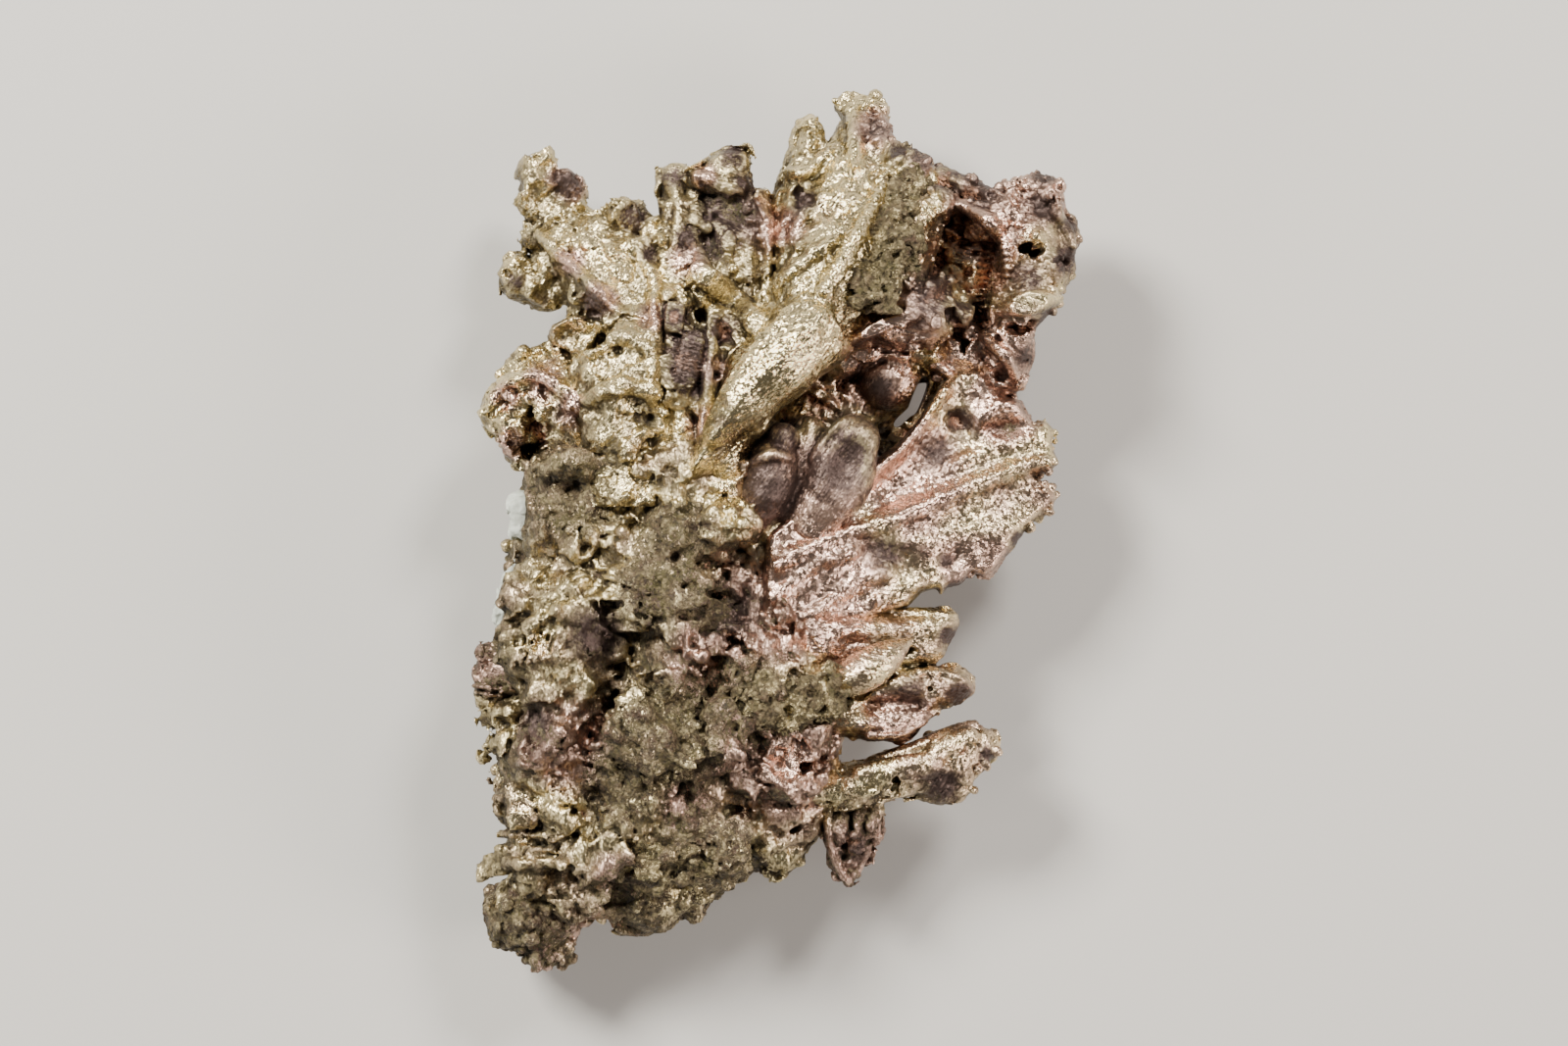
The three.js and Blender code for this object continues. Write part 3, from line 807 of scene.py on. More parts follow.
trunk = Growth("trunk", 0.17, seed=1)
COLUMNS = [
    [
        [6.4, 8, 6, 3.8, 5.6], [5.8, 13.5, 7, 4, 6.8], [6.2, 21, 7.4, 4.4, 8.2],
        [7.4, 28, 7.6, 4.7, 8.4], [8.6, 35, 8.4, 4.8, 7.4],
    ],
    [
        [12, 8, 5.4, 4.8, 6], [13.5, 13, 7, 6.5, 8], [14.6, 20, 8.4, 6.8, 8.8],
        [14.2, 27, 8.4, 6, 8.8], [14, 35, 8.2, 5.4, 8],
    ],
    [
        [19, 10.8, 5.6, 3.4, 5.6], [21.6, 14.6, 6.6, 3.9, 7.2], [22, 20, 7.6, 4, 8.2],
        [19, 25.5, 8, 3.6, 8], [17.4, 32, 8.2, 3.2, 7],
    ],
    [[7.5, 6, 5.2, 2.3, 4.2], [14.5, 6.8, 5.2, 2.9, 4.8], [22.4, 10.9, 5.6, 2.3, 4.2]],
]
trunk.limbs(*COLUMNS, blend=1.2)
trunk.lumps(
    [5, 23.4, 13.2, 2.6, 2, 2.2], [3.2, 12, 11, 1.7, 2.2, 2], [9, 31.5, 14, 3.8, 2.2, 2],
    [13.6, 27, 16, 3.4, 2.6, 1.8], [21.8, 21.4, 14, 3, 2, 2], [5, 27.6, 12.6, 2.6, 2.2, 2.2],
    [7.8, 25.1, 15.2, 1.7, 1.6, 1.2], [14.2, 17.8, 15.8, 3.9, 2.6, 1.9],
    [10.4, 26.8, 14.4, 2.4, 1.9, 1.7], [3, 5, 5, 2, 1.6, 2.6], [17.2, 9, 11.6, 2.6, 2.9, 2.4],
    [5.9, 11.6, 12.8, 1.5, 1.7, 1.4], [8.7, 9.8, 11.9, 1.9, 3.2, 1.7], [13.4, 29.4, 14.6, 2.2, 1.4, 1.8],
    [21.8, 14.6, 13.6, 2.9, 2.4, 1.9],
    blend=0.5, power=2.6,
)
trunk.rough(0.8, 3.8)
trunk.chips(0.42, 2.3, turn=0.5, tilt=1.3)
LEDGES = [
    [[5.2, 36.2, 0, 0.8, 0.9], [9, 36.6, 0.3, 0.9, 1], [12.5, 36, 0.2, 0.8, 0.9]],
    [[17.2, 32.3, 0.9, 1.5, 1.3], [19.2, 32.3, 0.8, 1.5, 1.3]],
    [[2.8, 24.4, 0, 0.6, 0.7], [4.4, 25, 0.4, 0.6, 0.8], [6.4, 26.4, 0.2, 0.6, 0.8]],
    [
        [4.2, 15.4, 0.1, 0.7, 0.8], [5.8, 17, 0.6, 0.9, 1], [7.4, 19.2, 0.5, 0.8, 1],
        [8.4, 21, 0.2, 0.6, 0.7],
    ],
    [[2.6, 8.2, 0.1, 0.5, 0.6], [4.4, 8.3, 0.5, 0.4, 0.6], [6.4, 8.2, 0.3, 0.4, 0.6]],
    [[9, 7.4, 0.2, 0.6, 0.7], [10, 8.2, 0.4, 0.5, 0.6], [11.2, 8.8, 0.2, 0.5, 0.6]],
    [[20.4, 9, 0, 0.6, 0.7], [22.6, 9.8, 0.3, 0.5, 0.6], [24.8, 10.3, -0.4, 0.4, 0.5]],
]
trunk.on_face(*LEDGES, blend=0.4, crest=1.7)
SPURS = [
    [[3, 8.6, 10, 1, 1], [1.2, 7.6, 9.2, 0.8, 0.8], [0.1, 6.9, 8.6, 0.5, 0.5]],
    [[2.6, 17.2, 12, 0.8, 0.9], [1.2, 16.4, 11, 0.6, 0.6], [0.4, 15.4, 10.2, 0.4, 0.4]],
    [[2.8, 18.8, 12, 0.9, 1], [0.8, 18.4, 10.6, 0.6, 0.6]],
]
trunk.limbs(*SPURS, blend=0.4)
HOLLOWS = [
    [[7.4, 33.1, 0, 0.25, 0.7], [9.4, 32.8, 0, 0.3, 0.9], [11.6, 32.3, 0, 0.25, 0.7]],
    [[14.6, 29.7, 0, 0.4, 1], [17.2, 29.3, -0.2, 0.5, 1.6], [19.9, 29.9, 0.2, 0.4, 1]],
    [[15.9, 28.1, 0, 0.35, 1], [17.5, 27.4, -0.3, 0.6, 1.5], [19, 26.6, 0, 0.35, 1]],
    [[16.7, 24.7, 0, 0.3, 0.9], [18, 24.2, -0.2, 0.45, 1.3], [19.3, 23.5, 0, 0.3, 0.9]],
    [[10.4, 21.2, -0.1, 0.6, 1.6], [9.5, 19.2, -0.3, 0.75, 1.9], [7.9, 16.4, 0.1, 0.4, 1]],
    [[17.9, 23, 0, 0.8, 0.9], [17, 21.8, -0.2, 1, 1.1], [16.6, 20.4, 0, 0.7, 0.8]],
    [[14.9, 13.9, 0.1, 0.4, 0.9], [15.1, 12.6, 0.1, 0.45, 0.9]],
    [[18.6, 11.7, -0.3, 0.45, 1.3], [19.6, 11.2, -0.3, 0.45, 1.2]],
    [[7.3, 12, 0.1, 0.3, 0.6], [8.3, 11.8, 0.1, 0.3, 0.6]],
    [[2.4, 9.1, 0, 0.25, 0.7], [4.4, 9.1, 0, 0.3, 0.9], [6.8, 9.7, 0, 0.25, 0.7]],
    [[11, 7.8, -0.3, 0.5, 1.2], [12.2, 7.6, -0.4, 0.45, 1.2]],
    [[8.4, 3.6, -1.2, 0.8, 1.8], [10, 4, -1.2, 0.7, 1.8]],
    [[14.8, 8.4, 0, 0.25, 1], [14.7, 6, -0.2, 0.3, 1]],
    [[21, 15.8, 0.6, 0.8, 0.7], [22.2, 14.9, 0.6, 1.5, 1], [24, 14.2, 0.5, 1.1, 1]],
    [[23.4, 15.1, -0.6, 0.45, 2.4], [24.3, 15.1, -0.6, 0.4, 2.4]],
]
trunk.on_face(*HOLLOWS, blend=0.3, hollow=True)
trunk.lumps(
    [10, 26.4, 14.6, 1.5, 1.2, 1.6], [9.9, 23.6, 14, 1.5, 1.4, 1.7], [7.8, 30.8, 14, 1.3, 1.2, 1.8],
    [7.5, 13.1, 12, 1.5, 1.4, 1.8], [10.4, 8.9, 11.4, 1.2, 1.1, 1.5], [20.6, 30.2, 12, 1.5, 1.6, 1.8],
    [18.4, 34.6, 13.4, 1.4, 2.4, 2.2], [22.6, 25.4, 12.4, 1.5, 1.3, 1.7], [19.9, 16.6, 13, 1, 1, 1.9],
    power=2.6,
)
trunk.limbs(
    [[21.4, 31.2, 12.4, 1.4, 2], [22.3, 28.8, 12.8, 1.4, 2], [22.6, 26, 12.6, 1.5, 2]],
    blend=0.4,
)
trunk.chips(0.19, 1.1, turn=1.0, tilt=1.8)
trunk.lumps([3.5, 12.3, 12, 1.15, 1.7, 1.7], blend=0.2, power=6, turn=0.06)
STEPS = [
    [[1.8, 10, 0.1, 0.3, 0.5], [3.6, 10.1, 0.3, 0.32, 0.5], [5.8, 10.3, 0.1, 0.3, 0.5]],
    [[1.6, 9, 0.1, 0.28, 0.5], [3.4, 9, 0.3, 0.3, 0.5], [6.6, 9.2, 0.1, 0.3, 0.5]],
    [[2.6, 11.9, 0.05, 0.1, 0.25], [4.4, 11.7, 0.05, 0.1, 0.25]],
    [[2.6, 12.8, 0.05, 0.1, 0.25], [4.4, 12.6, 0.05, 0.1, 0.25]],
]
trunk.on_face(*STEPS, blend=0.15, crest=1.5)
RIBS = 7  # in the herringbone on the left and in the small comb lower down
for i in range(RIBS):
    x, y = 3 + 0.55 * i, 22.3 + 0.12 * i
    trunk.on_face([[x, y, 0.12, 0.17, 0.35], [x + 0.7, y + 1.9, 0.12, 0.17, 0.35]], blend=0.12)
    x = 0.45 * i
    trunk.on_face([[12 + x, 11.6, 0.05, 0.14, 0.3], [11.7 + x, 12.9, 0.05, 0.14, 0.3]], blend=0.15)
trunk.chips(0.07, 0.5, turn=0.2, tilt=1.8)
trunk.crystals(260, 0.42, pits=0.04, blend=0.08)
grown(
    trunk, "crusted_silver", (0.06, 0.6, 0.09, 0.35),
    earth=[
        (14, 17.5, 3.4), (17, 8.6, 3), (7.6, 34.4, 2.4), (14.6, 31.4, 2), (12, 6, 2.4), (11, 14, 2.4),
        (20, 20, 2.6), (12.8, 27.6, 2.2), (16.8, 26.4, 1.5),
    ],
    rose=[(6.6, 16.6, 2.6), (21, 26, 3.2), (22, 15, 4), (10.4, 7.4, 1.4), (15, 12.4, 1.3), (17, 23, 2.4)],
    tarnish=[(9, 24.5, 1.8), (13, 27, 1.8), (18, 26, 2), (4.6, 18.4, 1.1)],
    copper=[
        (9.3, 19, 1.6), (17.2, 21.6, 2), (17.4, 27.4, 1.2), (24, 15.2, 0.9), (15, 13.1, 0.8),
        (19.2, 11.4, 1), (8, 11.9, 0.8), (9.3, 3.8, 1.8), (11.6, 7.7, 1), (18, 24.2, 1.2),
        (17.6, 29.5, 1.6), (20.6, 16.3, 0.9),
    ],
    # bare silver, and painted light on the lit upper right corner
    bare_and_highlit=[
        (3.7, 12.4, 1.3), (4.8, 23.8, 1.2), (6.4, 28.4, 0.8), (18.6, 34.8, 1.5), (3.4, 9.6, 0.7),
        (22.6, 15.4, 1.8), (11.6, 34.6, 1),
    ],
)

# ---- The base block and the left stub ----
# Two small limbs on the trunk's left edge: the pebbly lump at its foot, with rounded grains
# of rock caught in the silver, and a short spool-shaped stub further up.

block = Growth("base_block", 0.13, seed=2)
block.lumps(
    [4.3, 4.2, 5.6, 3.3, 3, 4.4], [2.4, 3.8, 6, 2, 2.2, 3.2], [4.7, 1.7, 5.6, 1.8, 1.5, 2.6],
    [7, 5.2, 5, 2, 2, 3],
    blend=0.6,
)
block.rough(0.25, 1.6)
PEBBLES = [
    (1.3, 1.9, 0.3, 0.45), (3.9, 2.5, 0.2, 0.75), (5.2, 4.6, 0.1, 0.6), (0.8, 4.4, -0.4, 0.6),
    (2.3, 4.9, 0.1, 0.7), (4.2, 0.9, -0.1, 0.7), (6.6, 3.4, 0, 0.6), (5.4, 1.3, -0.1, 0.5),
    (3.2, 3.7, 0.1, 0.5), (7.1, 5, 0, 0.6), (2.4, 2.1, 0, 0.5), (6.9, 8.8, 0, 0.7), (1.6, 3.3, 0, 0.4),
    (4.5, 5.6, 0.1, 0.5),
]
for x, y, rise, size in PEBBLES:
    pebble = [x, y, block.face(x, y) + rise, size, size * 0.75, size * 0.7]
    block.lumps(pebble, blend=0.15, turn=x + y)
block.chips(0.12, 0.7)
for x, y, rise, size in PEBBLES:
    core = [x, y, block.face(x, y) + 0.1, size * 0.7, size * 0.5, size * 0.5]
    block.lumps(core, blend=0.05, turn=x + y, power=2.6)
block.crystals(120, 0.4, jitter=1.0, pits=0.05, blend=0.05)
grown(
    block, "crusted_silver", (-0.12, 0.5, 0.07, 0.3),
    earth=[(3.5, 3.5, 3)],
    rose=[(4.6, 1, 1.2), (6.8, 3.2, 1.2)],
)

stub = Growth("left_stub", 0.12, seed=3)
stub.limbs(
    [
        [5, 21.8, 11, 1.8, 2.2], [3.6, 21.6, 11, 1.6, 2.2], [2.2, 21.5, 10.8, 1.4, 1.9],
        [1.1, 21.5, 10.6, 1.2, 1.6],
    ],
)
stub.lumps([1.3, 22.9, 10.6, 1.2, 0.85, 1.3], [1.1, 19.9, 10.3, 1.15, 1, 1.3], blend=0.3, power=3)
stub.on_face(
    [[0.2, 20.7, 0.1, 0.14, 0.3], [1.8, 20.5, 0.1, 0.14, 0.3]],
    [[0.2, 20.2, 0.1, 0.14, 0.3], [1.9, 20, 0.1, 0.14, 0.3]],
    [[0.4, 22.6, 0.1, 0.14, 0.3], [2.2, 22.5, 0.1, 0.14, 0.3]],
    blend=0.12,
)
stub.chips(0.1, 0.7)
grown(stub, "crusted_silver", (0.04, 0.4, 0.04, 0.25), flow=1.57, rose=[(1.5, 22.6, 2)])

# ---- The left lobe and the upper left branch ----
# Bright silver. The lobe is an arch with a dark hollow under it. The branch is a broad rough
# plate with one sharp edge, a head on a neck, a bud beside it and another below.

silver("bright_silver", rosy=0.32, tarnished=0.47, earthy=0.0, roughness=0.24, glint=0.52)

lobe = Growth("left_lobe", 0.13, seed=4)
lobe.limbs(
    [[9, 39.4, 10, 3, 4.2], [5.2, 40.8, 10, 3.2, 4], [2.9, 40.4, 9.6, 2.3, 3.2]],
    [[3, 40, 9.4, 1.9, 3], [2.6, 38.2, 8.8, 1.3, 2.2], [3.4, 36.6, 8.6, 0.8, 1.6]],
    blend=0.8,
)
lobe.limbs([[6.6, 40, 9, 1.6, 3], [6.4, 37.4, 8.6, 1.3, 2.4]], blend=0.6)
lobe.limbs([[6, 42.8, 10, 2, 2.6], [3.7, 43.2, 9.8, 1.5, 2]], blend=0.8)
lobe.lumps([5, 38, 5.4, 2.6, 2.4, 3], blend=0.6)
lobe.rough(0.25, 1.8)
lobe.limbs(
    [[4.3, 40.2, 13.6, 0.4, 1], [4.5, 39.1, 12.2, 0.65, 2], [4.8, 37.4, 11.4, 0.7, 2]],
    blend=0.3, hollow=True,
)
lobe.on_face(
    [
        [0.9, 40.3, 0, 0.6, 0.8], [2.2, 42, 0.4, 0.6, 0.9], [4.4, 42.8, 0.5, 0.6, 0.9],
        [6.6, 41.8, 0.5, 0.6, 0.9], [8.2, 40, 0.2, 0.5, 0.7],
    ],
    [[2.6, 43.8, 0, 0.5, 0.6], [4.4, 44.5, 0.2, 0.5, 0.7], [5.4, 45, 0.1, 0.4, 0.5]],
    blend=0.4, crest=1.6,
)
lobe.chips(0.13, 1.1, turn=0.6, tilt=1.3)
lobe.chips(0.05, 0.5, turn=0.2, tilt=1.2)
lobe.crystals(50, 0.4, jitter=0.7, pits=0.1, blend=0.08)
grown(
    lobe, "bright_silver", (0.04, 0.5, 0.035, 0.3), flow=0.6,
    rose=[(5, 42.2, 1.4), (7.4, 40.6, 1.4), (2.4, 38, 1), (2.4, 41.4, 1)],
    copper=[(4.6, 38.8, 1.1)],
    earth=[(3, 43.6, 1.2), (6.6, 38, 1.4)],
    bare_and_highlit=[(1.8, 41, 1.6), (2, 39, 1.2)],
)

branch = Growth("upper_left_branch", 0.15, seed=5)
branch.limbs(
    [
        [11, 35.5, 11.2, 4, 5], [10.8, 42, 11.4, 4.2, 5], [10.4, 47.4, 10.2, 3.6, 4.6],
        [9.2, 50.6, 9, 3.3, 4],
    ],
    blend=0.8,
)
branch.limbs(
    [
        [9, 50.6, 9, 2.8, 3.4], [6.3, 52.4, 8, 2.1, 3], [5, 54.8, 7.4, 1.5, 1.9],
        [4.6, 56.6, 7.2, 1.1, 1.7],
    ],
    [[12.9, 52.8, 9, 1.3, 2.4], [13.4, 48, 10.6, 1.6, 3], [13.4, 43, 11.2, 1.6, 3.2]],
    blend=0.6,
)
branch.lumps([8.8, 53, 8.2, 2.7, 1.5, 2.2], blend=0.6)
branch.lumps([6.3, 54.4, 7.8, 1.2, 1.1, 1.8], blend=0.5)
branch.lumps([10.7, 54, 9.3, 1.25, 1.5, 1.7], blend=0.5, power=2.8)
branch.lumps([4.35, 57.2, 7.5, 1.05, 1.6, 1.5], blend=0.3, power=4, turn=-0.08)
branch.lumps([6.2, 56.6, 7.2, 1.15, 1.15, 1.3], blend=0.25, power=2.6, turn=0.3)
branch.limbs(
    [[4.4, 57, 7.5, 1.1, 1.4], [4.3, 55.2, 7.6, 1.05, 1.6], [4.4, 53.4, 7.8, 1.1, 1.8]],
    blend=0.3,
)
branch.lumps([3.4, 49.8, 7.9, 1.75, 1.8, 1.9], power=2.4)
branch.lumps([5.7, 50.4, 7.8, 1.5, 1.3, 1.8])
branch.lumps([5.2, 49.3, 7.4, 2.1, 1.5, 1.9], [4.9, 52.7, 7.6, 1.5, 1.8, 1.9], blend=0.5)
branch.lumps([10, 43.6, 4.4, 3.8, 4.4, 5.4], blend=1)
branch.rough(0.42, 2.4)
branch.chips(0.22, 1.7, turn=0.7, tilt=1.3)
branch.lumps([5.3, 50.6, 7.8, 1.6, 1.5, 1.7], blend=0.5)
branch.limbs([[13.2, 36.5, 11.6, 1.3, 3], [13.5, 42, 11.8, 1.3, 3], [13.4, 47, 11, 1.2, 2.8]])
branch.on_face(
    [
        [4.6, 53, 0, 0.5, 0.6], [6, 51.5, 0.4, 0.5, 0.8], [7.6, 50, 0.5, 0.5, 0.9],
        [9.2, 48.4, 0.4, 0.5, 0.8], [10.2, 47.3, 0.1, 0.4, 0.6],
    ],
    [
        [11.4, 52, 0.2, 0.7, 0.8], [12.8, 49.6, 0.3, 0.6, 0.8], [12.9, 45, 0.3, 0.6, 0.8],
        [12.6, 41, 0.2, 0.6, 0.7],
    ],
    [[8.6, 44.4, 0, 0.7, 0.8], [10.4, 45.4, 0.1, 0.6, 0.7], [12.6, 44.6, 0, 0.5, 0.6]],
    [[8.4, 41, 0, 0.7, 0.8], [10.8, 42, 0.15, 0.8, 0.8], [13, 41.4, 0, 0.6, 0.7]],
    [[11, 37.2, 0.4, 0.7, 0.7], [12, 38.6, 0.5, 0.5, 0.6], [13, 38.8, 0.2, 0.3, 0.4]],
    blend=0.4, crest=1.6,
)
branch.lumps([7.2, 45.7, 15.2, 2.4, 1.5, 2.9], blend=0.3, power=4, turn=0.25, hollow=True)
WING_EDGE = [
    (5.2, 45.6), (5.5, 46.3), (6.7, 46.9), (7.6, 47.3), (9.8, 46.3), (9.3, 45.4), (8.1, 44.2),
    (6.9, 44.4), (5.5, 45),
]
branch.plate(
    WING_EDGE,
    level=(10.2, 0.24, 0), thick=(1, 0, 0), rim=0.4, blend=0.2,
    folds=[([(5.6, 46.2), (7.4, 47.1), (9.6, 46.3)], 0.5, 0.3), ([(6.4, 45.4), (8.6, 45.8)], -0.5, 0.6)],
)
branch.limbs([[7, 47, 10.6, 0.4, 0.6], [7.05, 48.5, 10.2, 0.2, 0.3]], blend=0.1)
branch.on_face(
    [[2.5, 50.1, 0.1, 0.45, 0.6], [3.1, 49.5, 0.1, 0.4, 0.5]],
    [[6, 48.5, 0, 0.3, 0.6], [7, 47.8, -0.1, 0.4, 0.8], [8.2, 47.2, 0, 0.3, 0.6]],
    [[10.1, 46.4, 0, 0.15, 0.6], [9, 45.2, -0.1, 0.18, 0.8], [8.1, 43.9, 0, 0.15, 0.6]],
    [[11.2, 39.8, 0, 0.25, 0.6], [12.4, 39.6, 0, 0.2, 0.5]],
    blend=0.15, hollow=True,
)
branch.chips(0.09, 0.8, turn=-0.6, tilt=1.4)
branch.chips(0.025, 0.4, turn=0.3, tilt=1.2)
branch.comb(0.03, 0.36, turn=1.25, area=lambda x, y, z: (y > 49.4) & (x > 5.6) & (x < 12))
branch.comb(0.03, 0.3, turn=0.5, area=lambda x, y, z: (y < 47.2) & (y > 44.4) & (x < 9.6))
branch.crystals(
    45, 0.42,
    jitter=0.6, shape=(1.2, 1.2, 0.6), pits=0.1, blend=0.1, area=lambda x, y, z: (y > 48) | (x > 10),
)
grown(
    branch, "bright_silver", (0.03, 0.5, 0.035, 0.3), flow=-0.7,
    rose=[(6.6, 56.9, 1.2), (6.8, 50.9, 1.1), (9.2, 48.2, 1), (13, 47, 1)],
    tarnish=[(11.3, 54.2, 1), (8.6, 47.6, 0.8), (3, 49.7, 0.6), (12.6, 51.6, 0.9), (6.5, 56.7, 0.9)],
    earth=[(11.4, 54.2, 0.7), (9.5, 38, 2), (12.6, 39.4, 1.4)],
    bare_and_highlit=[(10, 51.6, 1.2), (7.6, 46.6, 0.9)],
    dulled=0.12,
)

# ---- The middle blades ----
# Three upright blades of bright silver on the top edge, with a striated bar, a V-shaped
# groove with a brown hole, and a flat facet behind a sharp crest at their foot.

blades = Growth("middle_blades", 0.14, seed=6)
blades.limbs([[17, 37, 9.6, 3, 4.6], [17.2, 44, 9.6, 4, 3.4]], blend=0.8)
blades.lumps([17.3, 50, 8.6, 3.9, 7.6, 2.6], blend=0.8, power=3)
blades.limbs(
    [
        [14.9, 43, 11.4, 1.7, 3.2], [14.8, 50, 10.6, 1.6, 2.6], [14.4, 54.8, 9.4, 1.1, 1.9],
        [14.2, 57.2, 8.6, 0.9, 1.2],
    ],
    [[18.2, 50, 9.8, 2, 2.4], [18.3, 54, 9.6, 1.8, 2], [18.2, 56.4, 9.2, 1.6, 1.7]],
    blend=0.6,
)
WEDGE_EDGE = [
    (15.2, 57.4), (16.2, 57.8), (17, 58.6), (17.9, 59.1), (19.4, 59), (19.8, 58.4), (19.7, 56.4),
    (18.6, 55.6), (16.4, 55.5), (15.4, 56.4),
]
blades.plate(
    WEDGE_EDGE,
    level=(9.8, 0, 0), thick=(1.7, 0, 0),
    folds=[([(15.8, 57), (17.6, 57.2), (19.4, 57.6)], 0.4, 0.5)],
    rim=0.7, blend=0.2,
)
blades.limbs(
    [[20.7, 45, 11.6, 1.3, 3], [20.7, 51, 11, 1.1, 2.4], [20.3, 55.6, 9.8, 0.8, 1.5]],
    crest=1.6,
)
blades.limbs(
    [[15.6, 50, 9.8, 1.2, 2.4], [15.6, 54, 9.6, 1.1, 2], [15.7, 56.6, 9.2, 0.8, 1.4]],
    [[13.5, 45.5, 10.8, 1, 2.6], [13.6, 50, 10.2, 0.9, 2.2], [13.4, 52.8, 9.4, 0.7, 1.6]],
    blend=0.6,
)
blades.lumps([14.1, 56.6, 9.2, 1.05, 1.3, 1.5], blend=0.3, power=3.4, turn=0.1)
blades.limbs([[17.3, 46.4, 12.3, 0.9, 2.6], [16.9, 43, 12.8, 1, 2.6], [16.4, 38.4, 13, 1, 2.6]])
blades.lumps([15.2, 43.6, 12.2, 1.8, 2.7, 2.9], blend=0.5, power=3)
SLOPES = [
    [[15, 42.4, 12.9, 1.3, 2.4], [15, 40, 13.1, 1.4, 2.4], [15, 37.6, 13.2, 1.4, 2.4]],
    [[18.6, 44.6, 13, 1.1, 2.4], [18.1, 41.6, 13.3, 1, 2.4], [17.6, 39, 13.4, 1, 2.4]],
    [[19.9, 46.4, 12.2, 1, 2.4], [18.6, 46.2, 12.2, 1, 2.4]],
    [[13.8, 47.8, 12.2, 0.9, 2.4], [13.7, 44, 12.9, 1.1, 2.6], [13.8, 41, 13.1, 1.1, 2.6]],
    [[16.4, 49.6, 11.4, 0.9, 1.8], [16.2, 47.8, 11.8, 0.8, 2]],
    [[16.5, 47.7, 11.4, 0.9, 2], [17.8, 46.6, 11.4, 0.9, 1.7]],
]
blades.limbs(*SLOPES)
blades.rough(0.26, 1.8)
blades.chips(0.17, 1.3, turn=0.4, tilt=1.3)
blades.on_face(
    [
        [17.2, 46.6, -0.1, 0.5, 0.5], [17, 44, 0.15, 0.55, 0.8], [16.7, 41.4, 0.2, 0.5, 0.7],
        [16.3, 38.2, 0.1, 0.4, 0.6],
    ],
    [[21, 52.6, 0, 0.25, 0.5], [21, 49.4, 0.3, 0.25, 0.7], [21.1, 46.2, 0.1, 0.22, 0.5]],
    [[16.8, 56.8, 0.1, 0.5, 0.5], [18.6, 56, 0.3, 0.7, 0.6], [19.4, 56.4, 0.1, 0.4, 0.5]],
    [[14.1, 56.7, 0.1, 0.7, 0.7], [14.6, 54.6, 0.1, 0.5, 0.5], [14.3, 52, 0.1, 0.4, 0.5]],
    [[15, 53, 0.1, 0.6, 0.6], [16.2, 50.8, 0.2, 0.6, 0.6], [16.8, 49, 0.1, 0.5, 0.5]],
    blend=0.35, crest=1.6,
)
blades.on_face(
    [
        [16.2, 50, 0.1, 0.8, 0.8], [17.6, 48.9, 0.4, 0.95, 0.9], [19.4, 47.3, 0.5, 0.95, 0.9],
        [21, 45.4, 0.2, 0.9, 0.8],
    ],
    blend=0.15, crest=3,
)
blades.lumps([15.4, 43.8, blades.face(15.4, 43.8), 0.9, 2, 0.8], blend=0.15, power=5, turn=-0.22)
blades.lumps([14.4, 46.8, blades.face(14.4, 46.8), 0.7, 1.1, 0.6], blend=0.2, power=6, turn=-0.1)
blades.on_face(
    [[17.1, 46.8, 0.35, 0.4, 0.6], [17.7, 45.9, 0.3, 0.6, 0.8], [18.4, 45, 0.35, 0.35, 0.6]],
    [[17.8, 44.4, 0.3, 0.25, 0.5], [17.5, 43.4, 0.25, 0.25, 0.55], [17.3, 42.4, 0.3, 0.25, 0.5]],
    [[16.8, 54.6, 0.3, 0.7, 0.7], [18.4, 54.2, 0.3, 1.1, 0.8], [19.4, 53.6, 0.3, 0.6, 0.7]],
    [[19.9, 56.8, 0, 0.2, 0.7], [19.7, 55.6, 0, 0.2, 0.8]],
    blend=0.2, hollow=True,
)
blades.comb(
    0.055, 0.32,
    turn=1.35, area=lambda x, y, z: (x < 16.4) & (x > 14.2) & (y < 45.9) & (y > 41.8),
)
blades.comb(0.05, 0.34, turn=0.6, area=lambda x, y, z: (x < 19) & (x > 16.4) & (y < 47.6) & (y > 45))
blades.chips(0.05, 0.6, turn=0.9, tilt=1.2, area=lambda x, y, z: (y > 49) | (y < 41))
blades.crystals(30, 0.4, jitter=0.6, blend=0.08, area=lambda x, y, z: (y > 48) & (y < 55))
grown(
    blades, "bright_silver", (0.03, 0.5, 0.035, 0.3), flow=1.2,
    rose=[(17.2, 43, 1), (20.6, 54, 2), (15.2, 51, 1.2), (16.6, 39.4, 1.4), (16.4, 57, 0.8)],
    tarnish=[
        (15.3, 42.8, 1.8), (15.5, 44.8, 1.8), (14.4, 46.8, 1.2), (14.2, 57, 0.8), (18, 54, 2),
        (18.4, 58.6, 0.8), (17.6, 46, 1), (17, 52, 1), (15.2, 52.6, 0.9), (19.6, 56.6, 0.9),
    ],
    copper=[(17.7, 46, 0.9), (15.3, 43.6, 1.5), (14.4, 46.8, 0.7)],
    earth=[(18.2, 54.2, 2.2), (14.1, 56.5, 1.6), (17, 51.6, 1.8), (18.4, 58.4, 1)],
    dulled=0.16,
)

# ---- The main spine ----
# The long bright ridge of silver, from a smooth beam in the middle up to the highest peak,
# with a hooked knob beside the peak and a fin on its right shoulder.

